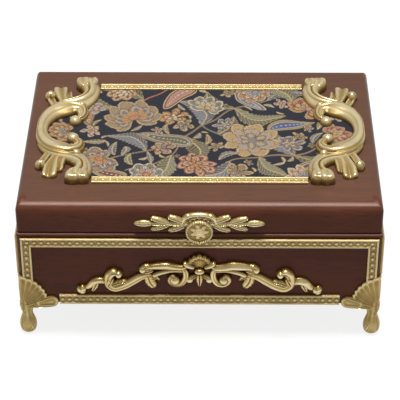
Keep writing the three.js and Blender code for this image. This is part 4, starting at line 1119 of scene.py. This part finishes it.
# curled drop: fat at the tail, bent to its tip, with nested bands and a row of dots
def drawDrop(loom, tail, tip, width, bend, kinds, dyes):
    s, q, length = bentAxis(loom, tail, tip, 0.0)
    q = q - bend * length * np.clip(s, 0, 1.2) ** 2
    along = np.clip(s + 0.12, 0, 1.12) / 1.12
    half = width * np.sqrt(along) * (1 - along) ** 0.7 * 1.9
    deep = half - np.abs(q)
    within = (s > -0.12) & (s < 1)
    for step, kind in zip((0.0, 1.5, 3.6, 4.8), kinds):
        loom.lay(loom.inside(step - deep) * within, dyes[kind])
    dots = np.hypot((s * length) % 4.4 - 2.2, q) - 1.0
    loom.lay(loom.inside(dots) * loom.inside(5.6 - deep) * within, dyes["cream"])


# petal: widest past its middle, in nested bands that follow its outline, with fine veins
def drawPetal(loom, tail, tip, width, bend, kinds, dyes):
    loom = loom.strip(min(tail[1], tip[1]) - width, max(tail[1], tip[1]) + width)
    s, q, length = bentAxis(loom, tail, tip, bend)
    along = np.clip(s, 0, 1)
    half = width * np.sin(pi * along ** 1.5) ** 0.7 * (0.94 + 0.06 * np.cos(along * length * 1.6))
    deep = np.minimum(half - np.abs(q), (1 - s) * length)
    within = s > 0
    loom.lay(loom.inside(-0.8 - deep) * within, 0.4 * dyes["ground"])
    for step, kind in zip((0.0, 0.9, 2.3, 3.8), kinds):
        loom.lay(loom.inside(step - deep) * within, dyes[kind])
    veins = np.abs((q + 40) % 2.0 - 1.0) - 0.3
    loom.lay(0.4 * loom.inside(veins) * loom.inside(1.6 - deep) * within, dyes[kinds[0]])


# blossom: three rows of petals, longest first;
# a full one goes all round, a half-open one fans out from its turn
def drawBlossom(loom, at, size, petals, turn, spread, kinds, dyes):
    fringe, petal, inner, rim, heart = kinds
    rows = ((1.0, petals, (rim, petal, inner, fringe)), (0.7, petals - 1, (petal, inner, rim, inner)),
            (0.45, max(petals - 2, 4), (rim, heart, petal, heart)))
    for k, (share, count, bands) in enumerate(rows):
        gap = 2 * spread / (count if spread >= pi else count - 1)
        lean = (np.arange(count) + 0.5 * (k % 2)) * gap - spread
        if spread < pi:
            lean = np.linspace(-spread, spread, count) * (1 - 0.1 * k)
        for angle in sorted(lean, key=lambda value: -abs(value)):
            length = size * share * (1 if spread >= pi else 1 - 0.25 * (angle / spread) ** 2)
            tip = at[0] + length * cos(turn + angle), at[1] + length * sin(turn + angle)
            drawPetal(loom, at, tip, length * min(0.3, 0.52 * gap), 0.08 * np.sign(angle), bands, dyes)
    r = np.hypot(loom.x - at[0], loom.y - at[1])
    hatch = np.hypot((loom.x + loom.y) % 2.6 - 1.3, (loom.x - loom.y) % 2.6 - 1.3) - 0.7
    loom.lay(loom.inside(r - 0.13 * size - 0.8), 0.5 * dyes[fringe])
    loom.lay(loom.inside(r - 0.13 * size), dyes[heart])
    loom.lay(loom.inside(hatch) * (r < 0.12 * size), dyes[rim])


# leaves, largest first, and a few small flowers wherever the ground is still bare
def fillGround(loom, look, dyes, chance):
    wide, deep = look["area"]
    for k in range(look["count"]):
        x, y, turn = chance.uniform((-wide, -deep, 0), (wide, deep, 2 * pi))
        size = look["largest"] - (look["largest"] - look["smallest"]) * k / look["count"]
        bare = loom.strip(y - size, y + size)
        near = np.hypot(bare.x - x, bare.y - y) < 0.75 * size
        if not near.any() or bare.cover[near].mean() > look["covered"]:
            continue
        dx, dy = size * cos(turn), size * sin(turn)
        if k % 3:
            dye = look["leaves"][k % len(look["leaves"])]
            drawLeaf(loom, (x - dx, y - dy), (x + dx, y + dy), 0.42 * size, 0.14, dye, dyes)
        else:
            drawBlossom(loom, (x, y), 0.9 * size, 5, turn, pi, look["flowers"][k % 2], dyes)


# all motifs in turn, then a haze of worn dye and uneven threads
def weavePattern(x, y, look):
    dyes = {name: tint(*value) for name, value in look["dyes"].items()}
    # the drawing is bent by slow waves, so that no outline is a ruled curve
    bentX = x + 1.7 * np.sin(y / 9.0 + 0.7) + 1.1 * np.sin(x / 6.0 + y / 13.0)
    bentY = y + 1.7 * np.sin(x / 8.0 + 0.2) + 1.1 * np.sin(y / 5.5 - x / 12.0)
    loom = Loom(bentX, bentY, np.tile(dyes["ground"], x.shape + (1,)), np.zeros(x.shape))
    chance = np.random.default_rng(look["seed"])
    for dye, width, path in look["stems"]:
        drawStem(loom, dyes[dye], width, path)
    for tail, tip, width, bend, dye in look["leaves"]:
        drawLeaf(loom, tail, tip, width, bend, dye, dyes)
    for tail, tip, width, bend, kinds in look["drops"]:
        drawDrop(loom, tail, tip, width, bend, kinds, dyes)
    for at, size, petals, turn, spread, kinds in look["blossoms"]:
        drawBlossom(loom, at, size, petals, turn, spread, kinds, dyes)
    fillGround(loom, look["fill"], dyes, chance)
    hazy = loom.colour + look["haze"] * loom.cover[..., None] * (dyes["taupe"] - loom.colour)
    return hazy * (1 + 0.12 * chance.standard_normal(x.shape)[..., None])


# cloth top: rows across the panel end under the inner edge of the C-scrolls; flat underside
def makePanel(look, scroll):
    share = np.linspace(0, 1, 240)
    line, run, _ = thread(scroll["bed"][:-1], share)
    edgeX = scroll["centre"] + line[:, 0] - run[:, 1] * line[:, 2] + look["tuck"]
    edgeY = line[:, 1] - np.abs(run[:, 0]) * line[:, 2]
    order = np.argsort(edgeY)
    y = np.linspace(-look["half"], look["half"], look["rows"])[:, None]
    reach = np.interp(np.abs(y), edgeY[order], edgeX[order])
    x = np.linspace(-1, 1, look["cols"])[None, :] * reach
    y = y + 0 * x
    colour = np.clip(weavePattern(x, y, look), 0, 1)
    inset = np.minimum(reach - np.abs(x), look["half"] - np.abs(y))
    ease = np.clip(inset / 1.2, 0, 1)
    z = look["high"] - 0.5 * (1 - ease) ** 2 + 0.05 * np.sin(x * 0.31 + 1) * np.sin(y * 0.27) * ease - 0.05
    top = np.stack([x, y + scroll["setBack"], z], -1)
    rows, cols = x.shape
    loop = borderOf(rows, cols)
    flat = top.reshape(-1, 3)[loop] * (1, 1, 0) + (0, 0, look["low"])
    shell = gridShell(top)
    below = rows * cols + np.arange(len(loop))
    wall = np.stack([loop, np.roll(loop, -1), np.roll(below, -1), below], 1)
    points = np.concatenate([shell[0], flat])
    faces = np.concatenate([shell[1], wall])
    dye = np.ones((len(points), 4))
    dye[: rows * cols, :3] = colour.reshape(-1, 3)
    dye[rows * cols:, :3] = tint(*look["dyes"]["ground"])
    paints = {"dye": ("FLOAT_COLOR", "color", dye)}
    cloth = makePiece("tapestry_cloth", [(points, faces, np.ones(len(points)))], panelFinish, "lid",
                      ["tapestry_panel"], 50, [below[::-1]], paints)


makePanel(panelLook, scrollLook)
print("cloth panel woven")


# half width and half depth, then a wall's thickness and both edges, both faces of the floor,
# or the upper face of the pad
insideLook = dict(
    wall=(179.75, 123.75, 2.0, 6.25, 89.5), floor=(177.5, 121.5, 6.25, 8.25),
    lidWall=(179.75, 123.75, 1.5, 94.0, 115.25), pad=(178.0, 122.0, 115.25))


# cloth wall: an upright strip, rolled over at its top and bottom edges, carried round the box
def liningShell(halfX, halfY, thick, low, high):
    r = thick / 2
    turn = np.linspace(0, pi, 7)
    profile = [(r - r * cos(a), high - r + r * sin(a)) for a in turn]
    profile += [(thick - r + r * cos(a), low + r - r * sin(a)) for a in turn]
    rings = [cornerRing(halfX - d, halfY - d, 2.2 - 0.6 * d, z) for d, z in profile]
    return gridShell(np.array(rings + rings[:1]), wrap=True)


# flat mat with eased edges
def matShell(halfX, halfY, low, high):
    profile = [(0.6, low), (0.0, low + 0.5), (0.0, high - 0.9), (0.25, high - 0.3), (0.9, high),
               (3.5, high)]
    return gridShell(boxShell(halfX, halfY, [(d, z, 1.5) for d, z in profile], low, high), wrap=True)


padLook = dict(
    cols=181, rows=131, pull=2.4, piping=1.0, edge=2.6, crown=5.0, slack=0.25, crease=0.5, quilt=44.0,
    sewn=1.5, stitch=2.6, deepest=2.2, seam=1.4)


# lid pad: flat against the ceiling, crowned below and quilted in diamonds,
# its sides drawn in and piped at the seam
def padShell(halfX, halfY, high, look):
    u = np.sin(np.linspace(-pi / 2, pi / 2, look["cols"]))[None, :]
    v = np.sin(np.linspace(-pi / 2, pi / 2, look["rows"]))[:, None]
    x = u * (halfX - look["pull"] * (1 - v ** 2))
    y = v * (halfY - look["pull"] * (1 - u ** 2))
    rim = np.maximum(np.abs(u), np.abs(v))
    crown = (1 - np.abs(u) ** 5) * (1 - np.abs(v) ** 5)
    slack = look["slack"] * np.sin(x * 0.05 + 0.6) * np.sin(y * 0.07 + 0.2) * crown
    crease = look["crease"] * bell(1 - rim, 0.02)
    quilt = look["quilt"]
    slant = [np.abs((x + sign * y + quilt / 2) % quilt - quilt / 2) for sign in (1, -1)]
    stitch = sum(bell(away, look["stitch"]) + 0.35 * bell(away, 8) for away in slant)
    sewn = np.minimum(look["sewn"] * stitch * crown ** 2, look["deepest"])
    z = high - look["edge"] - look["crown"] * crown ** 0.55 + slack + crease + sewn
    lower, upper, side = [np.stack([x, y, level + 0 * x], -1) for level in (z, high, high - look["seam"])]
    outward = [np.sign(u) * (np.abs(u) == 1) + 0 * v, np.sign(v) * (np.abs(v) == 1) + 0 * u, 0 * x]
    bulge = side + look["piping"] * np.stack(outward, -1)
    loop = borderOf(*x.shape)
    ring = np.stack([surface.reshape(-1, 3)[loop] for surface in (lower, bulge, upper)])
    return [gridShell(lower), gridShell(ring, wrap=True), gridShell(upper)]


# notched rack: outline of teeth and round-bottomed lanes, carried through its thickness with eased edges
rackLook = dict(
    half=177.5, low=8.5, high=48.5, thick=14.0, lanes=10, pitch=34.0, lane=20.0, bottom=34.5, ease=1.2,
    places=dict(front=-70.0, back=70.0))


def rackShell(look, y):
    half, low, high, r, e = look["half"], look["low"], look["high"], look["lane"] / 2, look["ease"]
    arc = np.linspace(0, -pi, 13)
    lip = np.linspace(0, pi / 2, 4)
    lane = np.concatenate([
        np.stack([r + e - e * np.sin(lip), high - e + e * np.cos(lip)], 1),
        np.stack([r * np.cos(arc), look["bottom"] + r * np.sin(arc)], 1),
        np.stack([-r - e + e * np.cos(lip), high - e + e * np.sin(lip)], 1)])
    centres = (np.arange(look["lanes"])[::-1] - (look["lanes"] - 1) / 2) * look["pitch"]
    right = [(-half, low), (half, low), (half, high - e), (half - e, high)]
    left = [(-half + e, high), (-half, high - e)]
    outline = np.concatenate([right, *[lane + (centre, 0) for centre in centres], left])
    step = np.roll(outline, -1, 0) - np.roll(outline, 1, 0)
    normal = np.stack([step[:, 1], -step[:, 0]], 1) / np.linalg.norm(step, axis=1, keepdims=True)
    t, soft = look["thick"] / 2, 0.35 * e
    rings = []
    for depth, inset in ((-t, e), (-t + soft, soft), (-t + e, 0), (t - e, 0), (t - soft, soft), (t, e)):
        face = outline - inset * normal
        rings.append(np.column_stack([face[:, 0], np.full(len(face), y + depth), face[:, 1]]))
    count = len(outline)
    last = count * (len(rings) - 1)
    return gridShell(np.array(rings), wrap=True), [range(count), range(last + count - 1, last - 1, -1)]


def makeInside(look, padding, rack):
    def line(name, shells, body, finish, node, sharp=50):
        return makePiece(name, shells, finish, body, [node], sharp)

    wall = line("wall_cloth", [liningShell(*look["wall"])], "base", liningFinish, "wall_lining")
    floor = line("floor_cloth", [matShell(*look["floor"])], "base", liningFinish, "floor_lining")
    lidWall = line("lid_wall_cloth", [liningShell(*look["lidWall"])], "lid", liningFinish,
                   "lid_wall_lining")
    pad = line("lid_cushion", padShell(*look["pad"], padding), "lid", padFinish, "lid_pad", 60)
    for name, y in rack["places"].items():
        shell, rims = rackShell(rack, y)
        makePiece(name + "_lane_rack", [shell], rackFinish, "base", [name + "_rack"], 40, rims)


makeInside(insideLook, padLook, rackLook)
print("inside lined")


hingeLook = dict(
    axis=(halfDepth + 3.3, 92.75), width=36.0, leaf=(3.4, 16.0), thick=1.5, barrel=3.0, pin=1.2, room=0.2,
    knuckles=5, gap=0.4, places=dict(left=-110.0, right=110.0), screw=(2.4, 1.45, 7),
    footScrew=(2.4, 1.3, 6), footScrewLevel=-3.4)


# eased plate on the back of the box, between two heights
def leafPlate(x, low, high, look):
    back, front = halfDepth, halfDepth + look["thick"]
    edge = ((0.4, back), (0.0, back + 0.3), (0.0, front - 0.35), (0.35, front), (0.9, front))
    profile = [(d, y, 2.0) for d, y in edge]
    plate = boxShell(look["width"] / 2, (high - low) / 2, profile, back, front, 0.6, 5)
    return gridShell(plate[..., [0, 2, 1]] + (x, 0, (low + high) / 2), wrap=True)


# turned form lying along x: (radius, x) pairs go round the hinge axis
def barrelShell(profile, y, z, sides=24):
    profile = np.asarray(profile, float)
    angle = around(sides)
    r, x = profile[:, :1], profile[:, 1:]
    points = np.stack([x + 0 * angle, y + r * np.cos(angle), z + r * np.sin(angle)], -1)
    return gridShell(points, 0.8, wrap=True)


# strap that turns from the leaf into the knuckle: a quarter bend of flat stock
def strapShell(x0, x1, sign, look):
    bend = np.array([(0.05, 5.2), (0.05, 3.0), (0.6, 1.2), (1.2, 0), (3.0, 1.5), (2.4, 3.0), (1.5, 3.6),
                     (1.45, 5.2)])
    bend = bend * (1, sign) + (halfDepth, look["axis"][1])
    rings = [np.column_stack([np.full(len(bend), x), bend]) for x in (x0, x1)]
    middle = [np.broadcast_to(ring.mean(0), ring.shape) for ring in rings]
    return gridShell(np.array([middle[0], rings[0], rings[1], middle[1]]), 0.5, wrap=True)


# slotted round head: a disc from a square grid, domed, with a sunk slot, flat below, on a short shank
def screwShells(radius, height, shank):
    cut = 0.17
    u = np.array([-1, -1, -0.9, -0.7, -0.45, -cut, -cut, cut, cut, 0.45, 0.7, 0.9, 1, 1])[None, :]
    v = np.concatenate([[-1], np.sin(np.linspace(-pi / 2, pi / 2, 13)), [1]])[:, None]
    x = radius * u * np.sqrt(1 - v ** 2 / 2)
    y = radius * v * np.sqrt(1 - u ** 2 / 2)
    dome = height * np.sqrt(np.clip(1 - 0.8 * (x ** 2 + y ** 2) / radius ** 2, 0, 1))
    dome[:, 6:8] = np.minimum(dome[:, 6:8], height * 0.42)
    dome[[0, -1]] = 0
    dome[:, [0, -1]] = 0
    head = np.stack([x, y, dome], -1)
    seat = np.stack([x, y, 0 * dome], -1)
    angle = around(12)
    r = np.array([0, 1, 1, 0])[:, None] * 1.15
    z = np.array([-shank, -shank + 1.5, 0.2, 0.2])[:, None]
    stem = np.stack([r * np.cos(angle), r * np.sin(angle), z + 0 * angle], -1)
    return [gridShell(head), gridShell(seat), gridShell(stem, wrap=True)]


# one screw where its node is: its place, and the way its slot and head turn
def makeScrew(name, node, size, columns, place, body):
    makePiece(name, carry(screwShells(*size), columns, place), screwFinish, body, [node], 40)


def makeHinges(look):
    y, z = look["axis"]
    end = look["width"] / 2
    step = look["width"] / look["knuckles"]
    barrel, hole = look["barrel"], look["pin"] + look["room"]
    for side, x in look["places"].items():
        for body, sign, first in (("base", -1, 0), ("lid", 1, 1)):
            heights = sorted(z + sign * away for away in look["leaf"])
            shells = [leafPlate(x, *heights, look)]
            for k in range(first, look["knuckles"], 2):
                x0 = x - end + k * step + look["gap"] / 2
                x1 = x0 + step - look["gap"]
                ring = [(hole, x0), (barrel - 0.3, x0), (barrel, x0 + 0.3), (barrel, x0 + 1),
                        (barrel, x1 - 1), (barrel, x1 - 0.3), (barrel - 0.3, x1), (hole, x1), (hole, x0)]
                shells += [barrelShell(ring, y, z), strapShell(x0, x1, sign, look)]
            makePiece(body + "_leaf_" + side, shells, brassFinish, body,
                      ["hinge_" + body + "_leaf_" + side], 40)
            for hand in "ab":
                node = "hinge_" + body + "_screw_" + side + "_" + hand
                lo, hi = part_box(node)
                middle = (lo.x + hi.x) / 2 / mm, (lo.z + hi.z) / 2 / mm - stand
                place = (middle[0], halfDepth + look["thick"], middle[1])
                turn = radians(37 * (1 + sign) + 50 * (hand == "b") + 0.2 * x)
                columns = [(cos(turn), 0, sin(turn)), (sin(turn), 0, -cos(turn)), (0, 1, 0)]
                name = body + "_leaf_screw_" + side + "_" + hand
                makeScrew(name, node, look["screw"], columns, place, body)
        head = [(0, -end - 1), (0.8, -end - 0.9), (look["pin"], -end - 0.4)]
        pin = [(r, x + along) for r, along in head] + [(r, x - along) for r, along in head[::-1]]
        makePiece("pin_" + side, [barrelShell(pin, y, z, 20)], screwFinish, "base",
                  ["hinge_pin_" + side], 40)
    for corner, *_ in cornerTurns:
        lo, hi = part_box("foot_screw_" + corner)
        place = ((lo.x + hi.x) / 2 / mm, (lo.y + hi.y) / 2 / mm, look["footScrewLevel"])
        columns = [(1, 0, 0), (0, -1, 0), (0, 0, -1)]
        makeScrew("plate_screw_" + corner, "foot_screw_" + corner, look["footScrew"], columns, place, "base")


makeHinges(hingeLook)
print("hinges hung")


stageLook = dict(
    floorHalf=4.0, floor=(112, 111, 110), glow=0.84, sky=0.3,
    lights=[("key_light", 3.4, 18, 1, -20), ("fill_light", 0.1, 60, 50, 24)])


def setStage(look):
    half = look["floorHalf"]
    mesh = bpy.data.meshes.new("studio_floor")
    corners = [(-half, -half, 0), (half, -half, 0), (half, half, 0), (-half, half, 0)]
    mesh.from_pydata(corners, [], [(0, 1, 2, 3)])
    material, grow, feed = newFinish(
        "floor_paper", Roughness=0.95, Specular_IOR_Level=0.0, Emission_Strength=look["glow"])
    speck = grow.noise(grow.node(*objectSpace), 300.0)
    rays = ("Is Camera Ray", "Is Glossy Ray", "Is Transmission Ray")
    seen = [grow.node("ShaderNodeLightPath", None, None, ray) for ray in rays]
    plain = grow.math("MAXIMUM", grow.math("MAXIMUM", seen[0], seen[1]), seen[2])
    paper = speck.mix(rgba(*look["floor"]), rgba(*[v - 3 for v in look["floor"]]))
    feed(Base_Color=paper, Emission_Color=plain.mix((0, 0, 0, 1), (1, 1, 1, 1)))
    mesh.materials.append(material)
    floor = bpy.data.objects.new("studio_floor", mesh)
    bpy.context.scene.collection.objects.link(floor)
    world = bpy.data.worlds.new("studio_room")
    bpy.context.scene.world = world
    world.use_nodes = True
    tree = world.node_tree
    tree.nodes.clear()
    sky = Wire(tree).node("ShaderNodeBackground", None, {"Color": (1, 1, 1, 1), "Strength": look["sky"]})
    tree.links.new(sky.socket, tree.nodes.new("ShaderNodeOutputWorld").inputs[0])
    for name, strength, angle, pitch, turn in look["lights"]:
        lamp = bpy.data.lights.new(name, "SUN")
        lamp.energy = strength
        lamp.angle = radians(angle)
        sun = bpy.data.objects.new(name, lamp)
        sun.rotation_euler = (radians(pitch), 0, radians(turn))
        bpy.context.scene.collection.objects.link(sun)
    bpy.context.scene.view_settings.view_transform = "Standard"


setStage(stageLook)
print("stage set")
